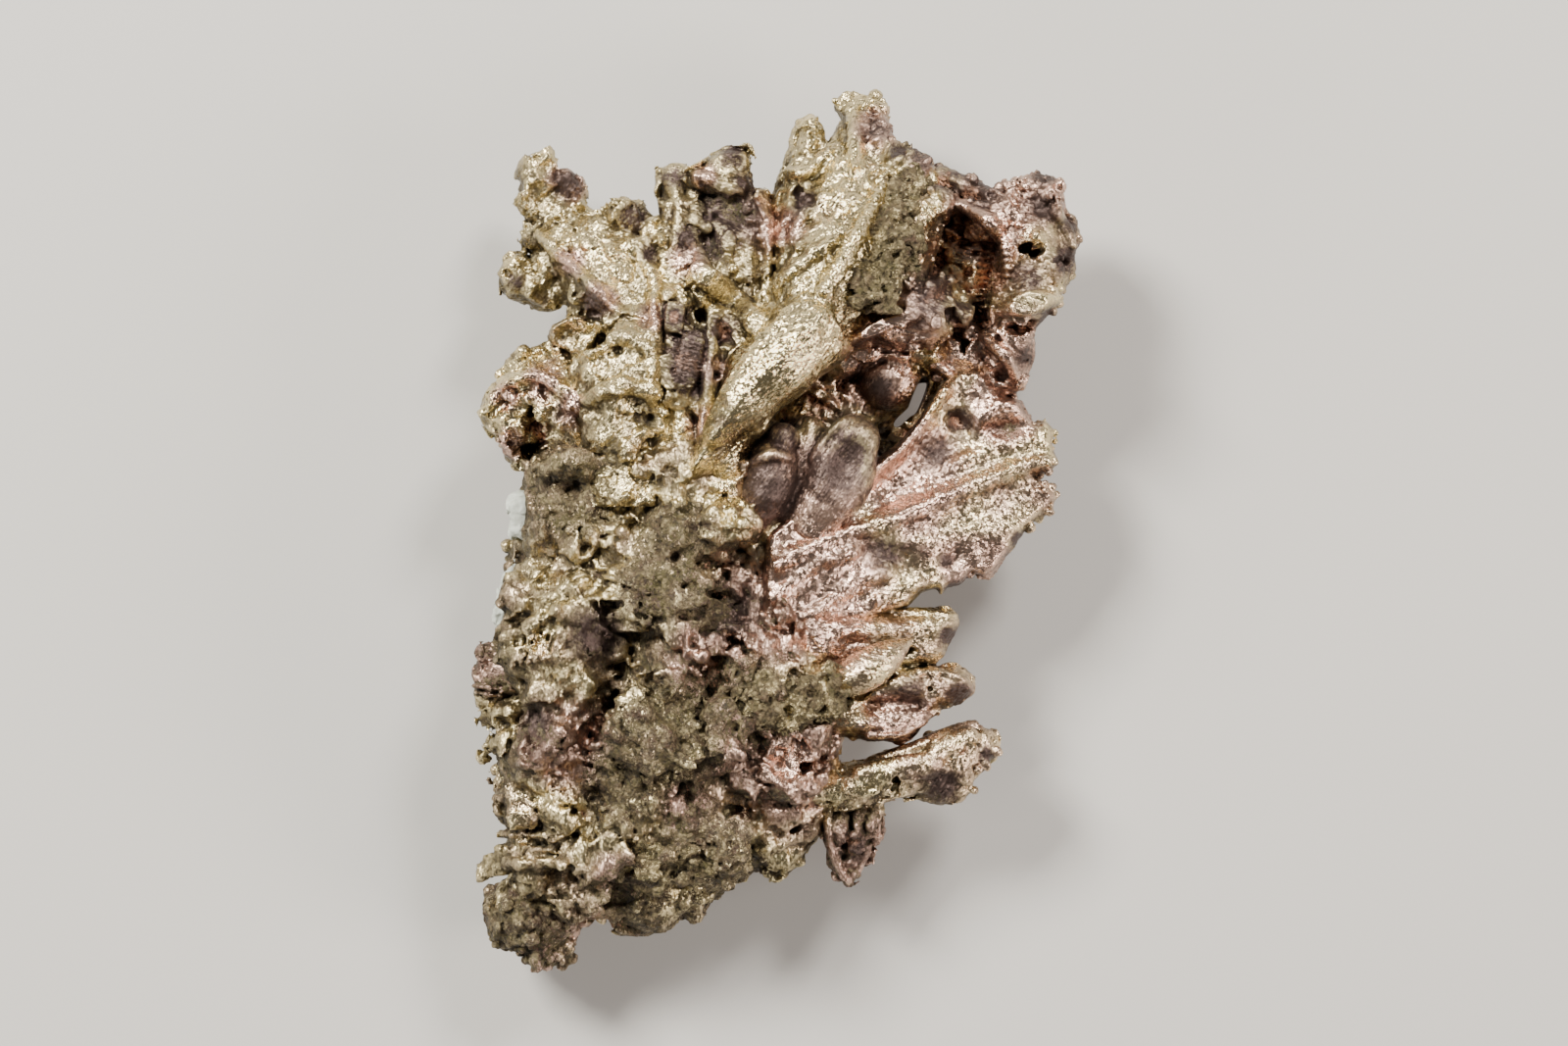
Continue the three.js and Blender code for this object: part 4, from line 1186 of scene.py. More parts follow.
spine = Growth("main_spine", 0.15, seed=7)
spine.limbs(
    [
        [15.4, 35.6, 12.6, 1.8, 3.6], [19.2, 41, 14.2, 2.2, 4], [22.8, 45.2, 14.2, 3.2, 4.2],
        [25.4, 49.8, 12.6, 4, 4.4], [26.7, 54.8, 10.6, 4, 4], [27.6, 58.6, 9, 2.7, 3],
        [28, 61.4, 8, 1.3, 1.9],
    ],
    blend=0.8, crest=1.6,
)
spine.limbs(
    [[23.4, 50, 11.4, 2.4, 3.2], [23.6, 55.6, 10, 1.8, 2.6], [24.1, 59.8, 8.6, 1, 1.6]],
    blend=0.6, crest=1.7,
)
spine.limbs([[29.4, 52.6, 10.6, 2.6, 3.4], [31, 57.6, 9, 1.4, 1.8]], blend=0.6)
spine.lumps([25, 48.6, 6.4, 4.4, 5, 5], blend=1)
spine.limbs([[17.8, 35.8, 12.8, 1.4, 2.4], [18.9, 37.6, 13, 1.2, 2.4], [20.2, 39.4, 13, 0.9, 2]])
spine.lumps([24, 60.4, 8.8, 0.95, 0.85, 1.2], blend=0.3)
spine.lumps([27.9, 61.9, 8.2, 1.4, 0.9, 1.4], blend=0.3, power=3)
spine.lumps([31.2, 58.4, 9.2, 0.9, 0.6, 1.2], blend=0.3)
spine.limbs([[22.6, 51, 9.8, 1.4, 2.6], [22, 54.6, 9.2, 1.2, 2], [22.8, 57.8, 8.8, 0.9, 1.5]], blend=0.6)
spine.rough(0.32, 2.6)
spine.chips(0.2, 1.6, turn=0.5, tilt=1.3, area=lambda x, y, z: (y > 46.5) | (z < 10))
spine.on_face(
    [
        [25, 48.4, 0.1, 0.6, 0.7], [26.6, 51.4, 0.5, 0.7, 0.9], [28.2, 54.4, 0.6, 0.7, 0.9],
        [29.2, 56.8, 0.3, 0.6, 0.7],
    ],
    [[27, 57.4, 0.1, 0.5, 0.6], [27.2, 59.8, 0.4, 0.6, 0.7], [27, 61.8, 0.2, 0.5, 0.5]],
    [[29, 59, 0.1, 0.6, 0.6], [29, 61, 0.2, 0.5, 0.5]],
    [[22.6, 57.4, 0, 0.5, 0.6], [23.6, 57.2, 0.4, 0.5, 0.6], [25.2, 58.6, 0.2, 0.5, 0.6]],
    [[22.6, 52.2, 0.1, 0.5, 0.6], [23.4, 54, 0.3, 0.4, 0.6], [24.8, 55.4, 0.2, 0.4, 0.5]],
    [[21.8, 49, 0.1, 0.5, 0.7], [23.4, 50.6, 0.3, 0.5, 0.7], [25.4, 52, 0.2, 0.5, 0.6]],
    crest=1.6,
)
spine.on_face(
    [
        [17.2, 38.4, -0.1, 1, 0.9], [19.6, 41.4, 0, 1.9, 1.4], [22, 43.9, 0, 2.3, 1.6],
        [24.6, 46.8, -0.1, 1.9, 1.3],
    ],
    crest=1.25,
)
spine.limbs(
    [[29.6, 57.9, 9.8, 0.8, 1.2], [31.6, 57.7, 9.4, 0.8, 1.2], [33, 57.3, 9, 0.5, 0.9]],
    blend=0.4,
)
spine.on_face([[22.8, 55.5, 0, 0.35, 0.7], [24.2, 55, -0.1, 0.4, 0.8]], blend=0.2, hollow=True)
spine.chips(0.07, 0.7, grain=(1.5, 1, 1), turn=-0.95, tilt=1.2, area=lambda x, y, z: (y > 45) | (z < 10))
spine.chips(0.025, 0.4, turn=0.4, tilt=1.2, area=lambda x, y, z: y > 44)
spine.crystals(50, 0.4, jitter=0.6, pits=0.1, blend=0.08, area=lambda x, y, z: (y > 48) | (z < 9))
spine.crystals(70, 0.34, pits=0.1, area=lambda x, y, z: (x > 28) & (y > 56))
grown(
    spine, "bright_silver", (0.025, 0.5, 0.03, 0.3), flow=-0.95,
    rose=[(28.8, 60.4, 1.4), (22, 53.4, 1.2), (32, 58, 1)],
    tarnish=[(28.8, 60.4, 1), (23.4, 55.2, 0.9), (31.8, 58.4, 1.4), (30.4, 58.6, 1)],
    earth=[(29.6, 53.4, 3.4), (28, 48.4, 3.4), (27.6, 62.6, 0.8), (31, 57.2, 2), (27.4, 50.6, 2)],
    copper=[(26.5, 45, 1.4)],
    # bare silver, and a painted highlight along the beam
    bare_and_highlit=[
        (20.6, 43.4, 2.3), (22.6, 45.4, 1.4), (27.2, 52.6, 1.2), (28.4, 55.4, 1), (26.6, 58.4, 1.2),
        (25.4, 54.6, 1), (18.8, 38, 0.9),
    ],
)

# ---- The right crown ----
# A ring of rose-coloured lumps round a deep brown hollow, with a pink fin at its top left, a
# domed corner, a small hole through its right side and a smooth olive finger below that.

silver("rosy_silver", rosy=0.7, tarnished=0.52, earthy=-0.04, roughness=0.25, glint=0.44)

crown = Growth("right_crown", 0.14, seed=8)
crown.limbs(
    [
        [30.6, 49, 10, 1.9, 3.6], [31.2, 52, 10.5, 1.7, 4], [32.6, 55, 10.2, 1.5, 3.2],
        [35.6, 54.2, 9.8, 1.4, 3.2], [39.2, 54.4, 9.4, 2.2, 3.8], [40, 50.6, 9.4, 2.7, 4.2],
        [38.4, 46.6, 9.4, 2.1, 3.8], [37.6, 43.4, 9, 2, 2.8],
    ],
    blend=0.8,
)
crown.limbs(
    [[27.2, 45.4, 10.6, 1.5, 3], [31.2, 47, 11.4, 2.4, 3.8], [34, 47.8, 10.6, 1.6, 3.4]],
    blend=0.6,
)
crown.lumps([33, 56.4, 8.6, 1.5, 1.1, 2.2], [35, 56, 9, 1.8, 1, 2.6])
crown.lumps([35.4, 50.6, 4, 5.2, 5.4, 4.6], blend=0.8)
crown.lumps([34.6, 44.4, 8.4, 3.2, 2.6, 2.8], [31.4, 44.6, 7.2, 3.4, 2.4, 3], blend=0.6)
crown.lumps([39.9, 55.4, 10, 2, 1.9, 3], power=2.3)
crown.lumps([42.3, 52.8, 9.4, 1, 1.2, 1.8], [41.9, 50.8, 9, 0.9, 1, 1.8], blend=0.3)
crown.rough(0.3, 2.2)
crown.limbs(
    [[34.3, 52.6, 14, 1.7, 2.2], [34.8, 50.6, 13.6, 1.8, 2.6], [35.3, 48.8, 13.4, 1.2, 2.2]],
    hollow=True,
)
crown.limbs(
    [[34.5, 53.6, 11.6, 0.9, 2.2], [35.2, 51.6, 11.4, 1.1, 2.6], [35.6, 49.6, 11.4, 0.8, 2.2]],
    blend=0.3, hollow=True,
)
crown.on_face(
    [[36.2, 47.6, 0, 0.5, 1.8], [36.7, 46.4, -0.3, 0.4, 1.6]],
    [[34, 47.2, 0, 0.6, 0.8], [34.7, 45.8, 0, 0.5, 1.1], [34.9, 44.6, 0, 0.3, 0.7]],
    [[38, 46.1, -0.2, 0.25, 0.8], [40.4, 46.3, -0.3, 0.3, 0.9]],
    [[41.6, 51, 0, 0.4, 0.6], [42.2, 50.7, 0, 0.35, 0.6]],
    [[40.9, 54.6, 0, 0.2, 0.4], [41.4, 54.9, 0, 0.2, 0.4]],
    [[36.4, 44.2, 0, 0.25, 0.7], [37.6, 42.8, 0, 0.25, 0.7]],
    blend=0.2, hollow=True,
)
crown.limbs(
    [[39.3, 51.8, 16, 0.45, 0.55], [39.3, 51.8, 1, 0.45, 0.55]],
    [[39.8, 51.4, 16, 0.5, 0.45], [39.8, 51.4, 1, 0.5, 0.45]],
    blend=0.1, hollow=True,
)
crown.chips(0.11, 1.3, turn=0.5, tilt=1.3, area=lambda x, y, z: (y < 46.2) | (y > 49) | (x < 37))
crown.chips(0.035, 0.5, turn=0.9, tilt=1.2, area=lambda x, y, z: (y < 46.2) | (y > 49) | (x < 37))
crown.chips(0.07, 0.75, turn=0.3, tilt=1.3, area=lambda x, y, z: (y > 53.6) | (x > 41))
crown.chips(0.22, 1.5, turn=0.8, tilt=1.2, area=lambda x, y, z: z < 7.5)
crown.on_face(
    [[33.4, 57.3, 0, 0.7, 0.8], [35, 56.4, 0.4, 0.75, 0.9], [37, 55.5, 0.2, 0.6, 0.7]],
    [
        [34.9, 54.9, 0, 0.5, 0.7], [36.6, 53.7, 0.4, 0.6, 0.8], [37.9, 52.2, 0.4, 0.6, 0.8],
        [38, 50.2, 0.2, 0.5, 0.7],
    ],
    [[41.4, 54.4, 0, 0.5, 0.6], [42.4, 52.8, 0.2, 0.5, 0.6], [42.5, 51.2, 0, 0.4, 0.5]],
    [[37.5, 47.4, 0.7, 0.5, 0.9], [39.4, 47.8, 1.2, 0.95, 1.1], [41.3, 48.2, 0.6, 0.5, 0.8]],
    [[40.4, 46.2, 0, 0.5, 0.6], [41.3, 46.8, 0.1, 0.5, 0.6]],
    [[27, 45.2, 0.1, 0.4, 0.7], [29, 46.2, 0.4, 0.4, 0.8], [31.2, 47, 0.3, 0.4, 0.7]],
    [[31.4, 44.4, 0.1, 0.5, 0.6], [33, 43.6, 0.3, 0.5, 0.7], [34.4, 42.6, 0.1, 0.4, 0.5]],
    [[36.4, 45.6, 0.1, 0.5, 0.6], [37.8, 44.2, 0.4, 0.5, 0.7], [38.6, 42.8, 0.1, 0.4, 0.5]],
    [[32.2, 48.4, 0, 0.4, 0.6], [33.4, 49.6, 0.2, 0.5, 0.7], [33.8, 50.6, 0, 0.3, 0.5]],
    blend=0.3, crest=1.7,
)
crown.comb(0.08, 0.45, turn=1.45, area=lambda x, y, z: (x > 35.8) & (x < 38.4) & (y > 47.5) & (y < 52))
crown.comb(0.04, 0.4, turn=0.5, area=lambda x, y, z: y > 54.6)
crown.crystals(110, 0.4, pits=0.1, area=lambda x, y, z: (y < 46.4) | (y > 48.8) | (x < 37))
crown.crystals(90, 0.32, pits=0.05, area=lambda x, y, z: (y > 55) | (x > 41.2))
grown(
    crown, "rosy_silver", (0.045, 0.5, 0.04, 0.3), flow=1.3,
    rose=[(36.6, 54.4, 2.4), (38, 44, 2.6), (30, 46, 2.6), (33, 43, 2), (39.6, 56.4, 2.4)],
    tarnish=[
        (33, 49, 1.4), (42, 51, 1.2), (34.6, 47.4, 1.2), (41, 46.6, 1), (40.6, 54.6, 1.2),
        (39.6, 49.6, 1), (40.6, 57, 0.9), (33.8, 57, 1.8), (36, 56, 1.4), (42.4, 53.6, 0.8),
        (32.6, 48, 1.8), (39.4, 44.2, 0.7),
    ],
    copper=[
        (33.4, 51.6, 2.4), (35.6, 50.2, 2.4), (36.5, 47, 1), (34.8, 46, 1.2), (37.2, 49.6, 1.4),
        (39.5, 51.6, 0.8), (39.4, 46.2, 1), (33.6, 57, 1.3), (35.4, 55.8, 1), (32.8, 48.4, 1.4),
    ],
    earth=[
        (31, 50.6, 2.2), (31.8, 53.4, 1.9), (39.2, 47.9, 2.2), (42.2, 53.2, 1.8), (32.6, 55.6, 1.7),
        (40.4, 50, 1.2),
    ],
    # bare silver, and painted light on the band that lies in shade under the crust
    bare_and_highlit=[(29.4, 46, 1.5), (37.2, 53.4, 1)],
)

# ---- The curled lobes ----
# Smooth purple-grey lobes that curl up between the spine and the fern, with a pale rim, a
# deep coppery cavity behind them and a smooth dome in it.

curls = Growth("curled_lobes", 0.14, seed=9)
curls.lumps([23.5, 37.5, 6.8, 4.6, 4.6, 5], blend=0.8)
curls.limbs([[24, 39.6, 7.4, 3, 3.4], [28.4, 41.6, 7.6, 2.8, 3.2], [31.6, 43, 7, 2.4, 2.8]], blend=0.8)
curls.lumps([30.8, 40.4, 5.8, 3.2, 3.6, 3], blend=0.6)
curls.limbs([[25, 43.4, 9, 1.4, 2.8], [28.6, 44.8, 9.8, 1.4, 3], [32, 44.8, 9.4, 1.4, 2.6]], blend=0.6)
curls.chips(0.16, 1.2)
curls.lumps([29.7, 42.4, 9.8, 2.4, 2.1, 2.7], blend=0.3, turn=0.3)
curls.limbs([[19.8, 32.6, 12, 1.7, 3], [21, 35, 13.9, 1.8, 2.6], [21.3, 36.7, 14.2, 1.6, 2]], blend=0.4)
curls.lumps([22, 38.4, 14, 1.05, 1.1, 1.7], blend=0.15, power=2.4)
curls.limbs([[22.4, 32.6, 11.4, 1.5, 2.6], [23.4, 36, 12.2, 1.5, 2], [23.9, 38.8, 11.8, 1.2, 1.8]])
curls.limbs(
    [[24.4, 32.8, 12, 2.2, 3], [26, 35.4, 13.2, 2.4, 2.4], [27, 37.8, 13.6, 1.9, 1.9]],
    crest=2.4,
)
curls.rough(0.1, 2.2)
curls.lumps([26.6, 36.6, 16.6, 1.6, 2.1, 1.9], blend=0.6, turn=-0.4, hollow=True)
curls.on_face(
    [
        [24.2, 36.8, 0, 0.4, 0.5], [25, 38.2, 0.2, 0.4, 0.6], [26.4, 39.5, 0.1, 0.4, 0.6],
        [27.9, 39.7, 0, 0.35, 0.5], [28.6, 39, -0.1, 0.3, 0.4],
    ],
    [[20, 36.6, 0.1, 0.4, 0.4], [21.3, 37.1, 0.3, 0.5, 0.5], [22.6, 36.8, 0.1, 0.3, 0.4]],
    [[23.2, 42, 0, 0.4, 0.6], [24.6, 41.6, 0.3, 0.4, 0.6], [25.8, 40.6, 0.1, 0.3, 0.5]],
    blend=0.25, crest=1.7,
)
curls.limbs([[25.6, 42, 13.4, 1.2, 2.8], [27, 41.6, 13, 1, 2.6]], blend=0.25, hollow=True)
curls.limbs([[21.8, 40.6, 14, 0.75, 2.6], [22.6, 40, 13.6, 0.6, 2.4]], blend=0.2, hollow=True)
curls.comb(0.025, 0.34, turn=0.9, area=lambda x, y, z: (x > 24) & (y < 39))
curls.crystals(70, 0.3, pits=0.3, area=lambda x, y, z: (y > 39.4) | (z < 9))
SLIT = [([31.75, 41.4, 9, 0.42, 1.4, 15], -0.38), ([30.7, 39.9, 9, 0.3, 0.9, 15], -0.8)]
for cut, turn in SLIT:
    curls.lumps(cut, blend=0.1, power=3, turn=turn, hollow=True)
grown(
    curls, "rosy_silver", (0.025, 0.45, 0.03, 0.25), flow=-0.6,
    rose=[(24, 34, 3), (29, 43, 2)],
    tarnish=[(21, 34.8, 2.4), (22, 38.4, 1.4), (26.6, 36.4, 3.2), (29, 42, 1)],
    copper=[(24.4, 41, 2), (26.4, 41.6, 1.6), (22, 40.2, 1.2), (24, 39.6, 1), (30.6, 39.2, 1.2)],
    earth=[(27.2, 39.7, 0.5), (24.7, 38.2, 0.4)],
)

# ---- The fern plate ----
# A broad plate of silver in the shape of a fern frond: a midrib with a fan of fine ribs above
# it, a woven rough half below it, and a ragged edge.

fern = Growth("fern_plate", 0.13, seed=10)
FERN_EDGE = [
    (20.4, 25), (24, 24.9), (27.4, 25.2), (31, 26.3), (32, 27.3), (33, 27.5), (33.3, 27), (33.8, 27.6),
    (34.8, 27.9), (35.5, 28.7), (36.4, 28.4), (37.3, 28.8), (38, 29.9), (38.6, 30.6), (39.4, 31.9),
    (40.4, 32.7), (41.5, 33.4), (41.7, 34.4), (41, 35.1), (40.1, 35.7), (41.2, 36), (41.8, 36.6),
    (41.4, 37.8), (41.5, 39), (40.8, 39.7), (40, 39.4), (39.4, 40.4), (39.1, 41), (38, 41.5),
    (37.2, 42.4), (36.4, 43.4), (34.4, 43.4), (33.2, 42.2), (32.5, 41), (31.5, 39.4), (30, 37.8),
    (28, 36.4), (24, 34.6), (20.6, 31.4),
]
MIDRIB = [(21.6, 29.4), (25.3, 31.2), (31.9, 33.4), (34.1, 34.4), (38.5, 36.2), (41.4, 36.9)]
FERN_FOLDS = [
    (MIDRIB, 0.8, 0.75),
    ([(26.4, 34.2), (30, 37.4), (31.4, 39.2), (33.4, 41.9)], 1, 0.6),
    ([(29.6, 34.8), (32.6, 37), (35, 39)], -0.8, 1.4),
    ([(34.4, 39.7), (35, 39.3)], -0.7, 0.6),
    ([(34, 36.4), (37, 37.7), (40.6, 38.2)], 0.35, 0.6),
    ([(35.4, 39.4), (37.4, 40.6), (38.6, 40.8)], 0.7, 0.8),
    ([(37, 39), (39, 39.2)], -0.5, 0.5),
    ([(26, 29.2), (30, 30.4), (35, 31.4), (38.4, 32)], 0.4, 1.3),
    ([(28, 30.3), (30.6, 29.8)], -0.5, 0.9),
    ([(34.2, 29.6), (34.4, 30)], -0.4, 0.5),
    ([(21.4, 27), (24.6, 29.6), (27, 30.4)], 0.5, 0.6),
    ([(24, 25.8), (27, 28), (29.4, 28.8)], 0.5, 0.6),
    ([(28.4, 26.8), (31.4, 28)], 0.35, 0.5),
]
fern.plate(FERN_EDGE, level=(16.4, -0.19, 0), thick=(3.9, -0.062, 0), folds=FERN_FOLDS, rim=0.7)
fern.lumps([23.6, 28.4, 10.6, 4, 3.6, 3.4], blend=0.8)
fern.rough(0.1, 2, grain=(2, 1, 1), turn=0.4)
fern.comb(
    0.028, 0.36,
    fan=(46, 26, 12), area=lambda x, y, z: np.clip((y - 33.4 - (x - 28) * 0.36) / 1.2, 0, 1),
)
fern.rough(0.045, 0.45, grain=(2.4, 1, 1), turn=0.3, area=lambda x, y, z: y < 32.6 + (x - 28) * 0.36)
fern.chips(0.035, 0.8, grain=(1.6, 1, 1), turn=0.4)
for cut, turn in SLIT:
    fern.lumps(cut, blend=0.1, power=3, turn=turn, hollow=True)
fern.crystals(90, 0.3, jitter=0.7, pits=0.3, area=lambda x, y, z: (x > 39.6) | (x > 34.4) & (y < 28.8))
grown(
    fern, "rosy_silver", (0.015, 0.45, 0.02, 0.28), flow=(46, 26),
    rose=[(24, 28, 4), (31, 36, 3), (38, 40.6, 2), (36, 28.6, 2)],
    tarnish=[
        (33, 37.4, 1.2), (34.6, 39.6, 1), (29.2, 30, 1.2), (33.6, 29.6, 0.5), (34.2, 27.6, 0.9),
        (38.8, 31.2, 0.6),
    ],
    copper=[(34.2, 39.5, 0.8), (30.8, 39.4, 1)],
    earth=[(38.6, 38.4, 1.2), (37.6, 29.4, 0.9), (33, 33.8, 1)],
)

# ---- The leaf cluster, the finger and the foot ----
# Pointed leaves of rose silver under the fern, a raised oval leaf over them, a blunt finger
# with glossy facets below, and a dark two-ridged wedge that hangs under it.

leaves = Growth("leaf_cluster", 0.12, seed=11)
leaves.lumps([26.4, 22.4, 8.8, 4.6, 4.4, 3.6], blend=0.8)
LEAF_EDGES = [
    [
        (23, 26.4), (28.4, 26.2), (30.4, 25.8), (32.2, 26.2), (33.9, 26.2), (34.6, 25.8), (34.8, 25.1),
        (34.2, 24.1), (33.6, 22.9), (32.9, 22.3), (31, 22.2), (27, 22), (23, 22),
    ],
    [
        (23, 22.8), (28, 22.8), (31.5, 22.2), (33.2, 22), (34.2, 22.2), (35.2, 21.9), (35.8, 21.2),
        (35.7, 20.2), (34.8, 19.4), (33.3, 18.9), (32.2, 17.9), (31.4, 17), (30.4, 16.5), (28, 16.8),
        (25.6, 17.2), (23, 18.4),
    ],
]
leaves.plate(
    LEAF_EDGES[0],
    level=(19.5, -0.29, 0), thick=(4.2, -0.08, 0), rim=1.6,
    folds=[([(26, 24.8), (31, 24.9), (34, 25.2)], 0.5, 0.8)],
)
leaves.plate(
    LEAF_EDGES[1],
    level=(16.2, -0.21, 0), thick=(4.2, -0.08, 0), rim=1.6, blend=0.25,
    folds=[
        ([(26, 21), (31, 20.8), (35, 20.8)], 0.4, 0.9), ([(27, 18), (30, 17.8), (32, 18.4)], 0.4, 0.6),
        ([(28, 19.4), (31.6, 19.4)], -0.6, 0.5),
    ],
)
leaves.rough(0.12, 1.4)
leaves.on_face(
    [[29.4, 25.9, 0, 0.35, 0.5], [32, 25.9, 0.2, 0.35, 0.5], [34.2, 25.7, 0, 0.25, 0.4]],
    [[31.4, 21.6, 0.1, 0.4, 0.5], [33.4, 21.6, 0.2, 0.35, 0.5], [35.2, 21, 0, 0.25, 0.4]],
    [[28.2, 17.2, 0.1, 0.3, 0.5], [30.6, 17.4, 0.2, 0.3, 0.5], [33, 18.8, 0, 0.25, 0.4]],
    blend=0.3, crest=1.6,
)
leaves.chips(0.06, 0.9)
leaves.chips(0.025, 0.45)
leaves.on_face(
    [[26.6, 19.7, 0.1, 0.5, 1.1], [29.4, 21.3, 0.1, 0.5, 1], [31, 23, 0.2, 0.3, 0.6]],
    blend=0.2, hollow=True,
)
leaves.limbs(
    [
        [25.8, 20.8, 14.2, 1, 1.2], [27.6, 21.8, 15, 1.5, 1.3], [29.4, 22.9, 14.4, 1.2, 1],
        [30.9, 23.9, 13.4, 0.3, 0.4],
    ],
    blend=0.1, crest=1.7,
)
leaves.crystals(30, 0.3, pits=0.3, area=lambda x, y, z: z < 12)
grown(
    leaves, "rosy_silver", (0.02, 0.45, 0.025, 0.28), flow=1.4,
    rose=[(24, 25, 3), (30, 17.6, 2)],
    tarnish=[(33.8, 24.2, 0.8), (34.6, 20.2, 0.8), (31, 20.4, 0.9)],
    copper=[(29.8, 21, 0.5), (28.6, 19.2, 0.7)],
    earth=[(24.6, 23.4, 1.2)],
)

finger = Growth("finger", 0.12, seed=12)
finger.limbs(
    [
        [24, 13, 8.4, 1.8, 3], [29.6, 14, 9.4, 1.7, 2.4], [33.4, 15.2, 9.2, 2.1, 2.1],
        [35.8, 16.2, 8.9, 1.7, 1.8],
    ],
)
finger.lumps([33.4, 13.8, 8.8, 2.4, 1.7, 1.7], blend=0.5)
finger.lumps([36.3, 16.4, 8.9, 1.3, 1.2, 1.4], power=2.8)
finger.rough(0.15, 1.5)
finger.chips(0.11, 1.2)
finger.on_face(
    [
        [28.4, 15.2, 0, 0.5, 0.6], [31.4, 16.2, 0.2, 0.5, 0.6], [34, 17.3, 0.2, 0.5, 0.6],
        [35.8, 17.9, 0, 0.3, 0.4],
    ],
    [[27.6, 14.4, 0, 0.8, 0.7], [30.4, 14.8, 0.4, 1, 0.8], [32.8, 15.2, 0.2, 0.9, 0.7]],
    [[33, 16, 0.2, 0.8, 0.7], [35.4, 17, 0.4, 0.8, 0.7]],
    blend=0.4, crest=1.8,
)
finger.on_face(
    [[34.6, 15.7, 0, 0.3, 0.7], [35.3, 16.1, 0, 0.3, 0.7]],
    [[29.6, 12.6, 0, 0.4, 1], [30.2, 13.8, 0, 0.3, 0.8]],
    blend=0.2, hollow=True,
)
finger.chips(0.05, 0.55, area=lambda x, y, z: (y < 14.8 + (x - 30) * 0.3) | (z < 9))
finger.crystals(50, 0.36, pits=0.1, area=lambda x, y, z: (y < 14.8 + (x - 30) * 0.3) | (z < 9))
grown(
    finger, "rosy_silver", (0.02, 0.45, 0.03, 0.28), flow=-0.4,
    tarnish=[(33.4, 13.4, 1.2), (36.6, 15.8, 0.6)],
    earth=[(29, 12.6, 1.3), (26, 13.4, 2.2), (33, 12.6, 0.8)],
    copper=[(35, 15.9, 0.5)],
)

foot = Growth("foot", 0.12, seed=13)
foot.limbs(
    [
        [26.4, 13, 7.6, 2.2, 3.2], [26.6, 10.4, 7.4, 1.9, 2.6], [26.6, 8.6, 7.2, 1.4, 1.9],
        [26.7, 6.9, 7, 0.7, 1.1],
    ],
    blend=0.4, crest=1.7,
)
foot.limbs([[28.2, 12, 7.4, 1, 1.8], [28.6, 10.2, 7.2, 0.7, 1.3], [28, 8.2, 7, 0.6, 1]], blend=0.4)
foot.rough(0.12, 1.1)
foot.chips(0.22, 1.1)
foot.chips(0.08, 0.5)
foot.on_face(
    [[25.2, 11, 0, 0.35, 0.6], [25.6, 8.6, 0.2, 0.35, 0.6], [26.4, 6.8, 0, 0.3, 0.4]],
    [[28.4, 11.4, 0.1, 0.4, 0.6], [28.2, 9.4, 0.3, 0.4, 0.6], [27.4, 7.2, 0, 0.3, 0.4]],
    blend=0.25, crest=1.4,
)
foot.on_face(
    [[26.8, 11.6, 0, 0.4, 0.7], [26.9, 9.4, 0.1, 0.5, 0.9], [26.8, 8, 0.1, 0.3, 0.6]],
    blend=0.25, hollow=True,
)
foot.crystals(40, 0.34, jitter=0.9, pits=0.4)
grown(
    foot, "crusted_silver", (0.04, 0.45, 0.05, 0.28),
    rose=[(27.4, 8, 3)],
    tarnish=[(27, 9, 1)],
    copper=[(26.9, 9.3, 1)],
    earth=[(27, 12.6, 1.8)],
)

# ---- Earthy crust ----
# Three patches of granular olive crust that fill dips in the silver, beside the brown hollow,
# on the ledge in the lower middle and on the lower part of the trunk.


def earthy_crust():
    """Matt earth, pale grains on dark, with a few bright specks of silver in it."""
    start, shader = new_material("earthy_crust")
    spot = start.node("ShaderNodeTexCoord", out=3).scaled(1 / MM)
    crevice = start.node("ShaderNodeAttribute", {"attribute_name": "crevice"}, out=2)
    colour, relief = soil(spot, crevice)
    glints = (noise(spot, 0.3, 4.0, 0.8) + noise(spot, 1.6) * 0.7).between(0.09, 0.15)
    paler = (noise(spot, 0.8) * 2.0 + 0.25).between(0.0, 1.6)
    colour = paler.mix(colour, (*PALE_EARTH, 1))
    feed(glints.mix(colour, (*CHAMPAGNE, 1)), shader, "Base Color")
    feed(glints * 0.9, shader, "Metallic")
    feed(0.85 - glints * 0.5, shader, "Roughness")
    inputs = {"Strength": 1.0, "Distance": 0.15 * MM, "Height": relief}
    feed(start.node("ShaderNodeBump", {}, inputs), shader, "Normal")


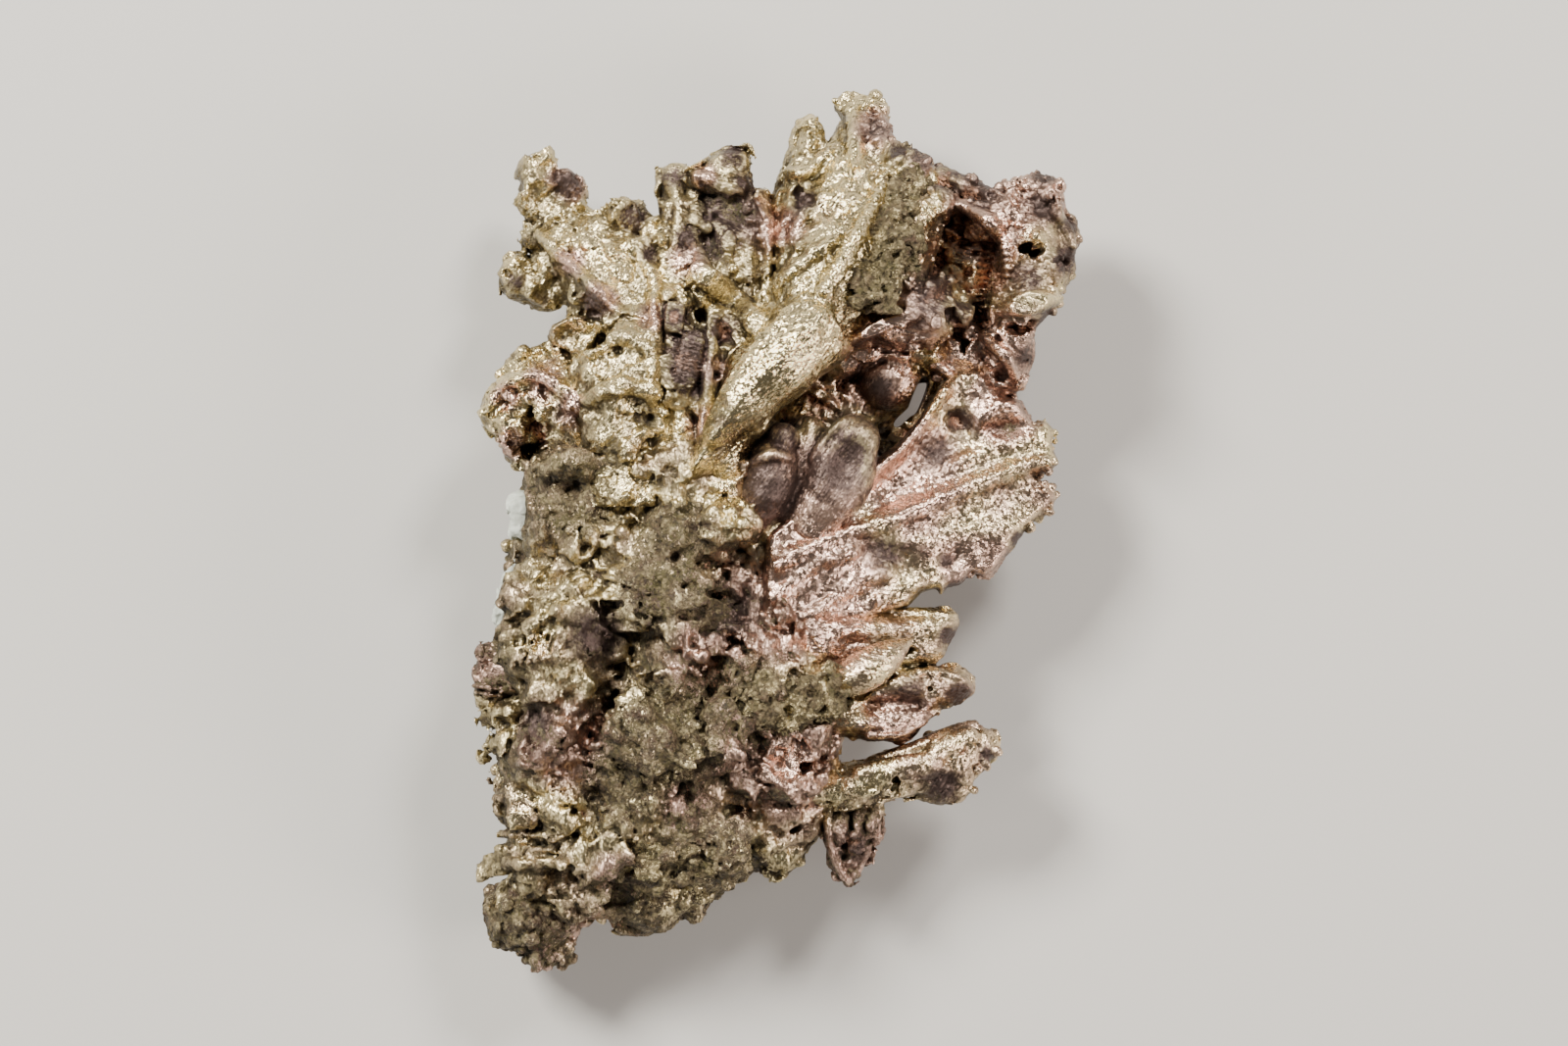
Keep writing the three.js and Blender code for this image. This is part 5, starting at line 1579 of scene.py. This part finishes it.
earthy_crust()
CRUSTS = {
    "crust_spine": [[28.2, 48.6, 15.4, 1.7, 1.5], [29.8, 52.6, 14, 1.9, 1.6], [30.6, 56.2, 11.8, 1.5, 1.3]],
    "crust_ledge": [[19.2, 19, 16, 1.4, 1.2], [22.6, 19.6, 16, 1.9, 1.4], [25.4, 20.2, 14.8, 1.5, 1.2]],
    "crust_side": [[11.2, 9.2, 11.8, 1.9, 1.6], [14.6, 9.4, 12.2, 2.3, 1.7], [17.8, 10.2, 12, 1.8, 1.5]],
}
for seed, (node, stations) in enumerate(CRUSTS.items(), 14):
    patch = Growth(node, 0.13, seed=seed)
    patch.limbs(stations, crest=2.4)
    patch.rough(0.4, 1.5)
    patch.chips(0.25, 0.9)
    patch.chips(0.12, 0.45)
    patch.crystals(90, 0.4, jitter=1, pits=0.4, blend=0.1)
    grown(patch, "earthy_crust", (-0.16, 0.35, 0.14, 0.25))

# ---- Calcite ----
# Two bits of grey-white calcite on the left edge: a chip with flat cleavage faces, and a thin
# rind just below it.

CHALK = (0.62, 0.66, 0.60)
DUST = (0.36, 0.38, 0.31)


def chalky():
    """Grey-white calcite with darker dust in its dips."""
    start, shader = new_material("calcite")
    spot = start.node("ShaderNodeTexCoord", out=3).scaled(1 / MM)
    inputs = {"Vector": spot, "Scale": 2.2, "Detail": 4.0}
    cloud = start.node("ShaderNodeTexNoise", {}, inputs)
    crevice = start.node("ShaderNodeAttribute", {"attribute_name": "crevice"}, out=2)
    dust = (cloud + crevice * 0.5 - 0.5).between(0.0, 0.4)
    feed(dust.mix((*CHALK, 1), (*DUST, 1)), shader, "Base Color")
    feed(cloud * 0.3 + 0.35, shader, "Roughness")
    inputs = {"Strength": 0.6, "Distance": 0.08 * MM, "Height": cloud}
    feed(start.node("ShaderNodeBump", {}, inputs), shader, "Normal")


chalky()
chip = Growth("calcite_chip", 0.1, seed=17)
chip.lumps([3.25, 33.2, 10.3, 0.85, 1.15, 1.1], blend=0.1, power=5, turn=0.25, tilt=0.35)
chip.lumps([3.3, 32.2, 9.8, 0.8, 0.95, 1.15], blend=0.1, power=5, turn=-0.2, tilt=-0.25)
chip.chips(0.12, 1.0, tilt=1.2)
rind = Growth("calcite_rind", 0.1, seed=18)
rind.limbs(
    [
        [1.9, 24.6, 8.9, 0.35, 0.6], [1.7, 25.6, 9.5, 0.5, 1.3], [1.9, 26.7, 9.2, 0.45, 0.9],
        [2.3, 27.9, 9.7, 0.5, 1.3], [2.9, 29.3, 9.1, 0.35, 0.6],
    ],
)
rind.chips(0.14, 0.7, tilt=1.2)
for shape in (chip, rind):
    grown(shape, "calcite", (0.05, 0.4, 0.04, 0.3))
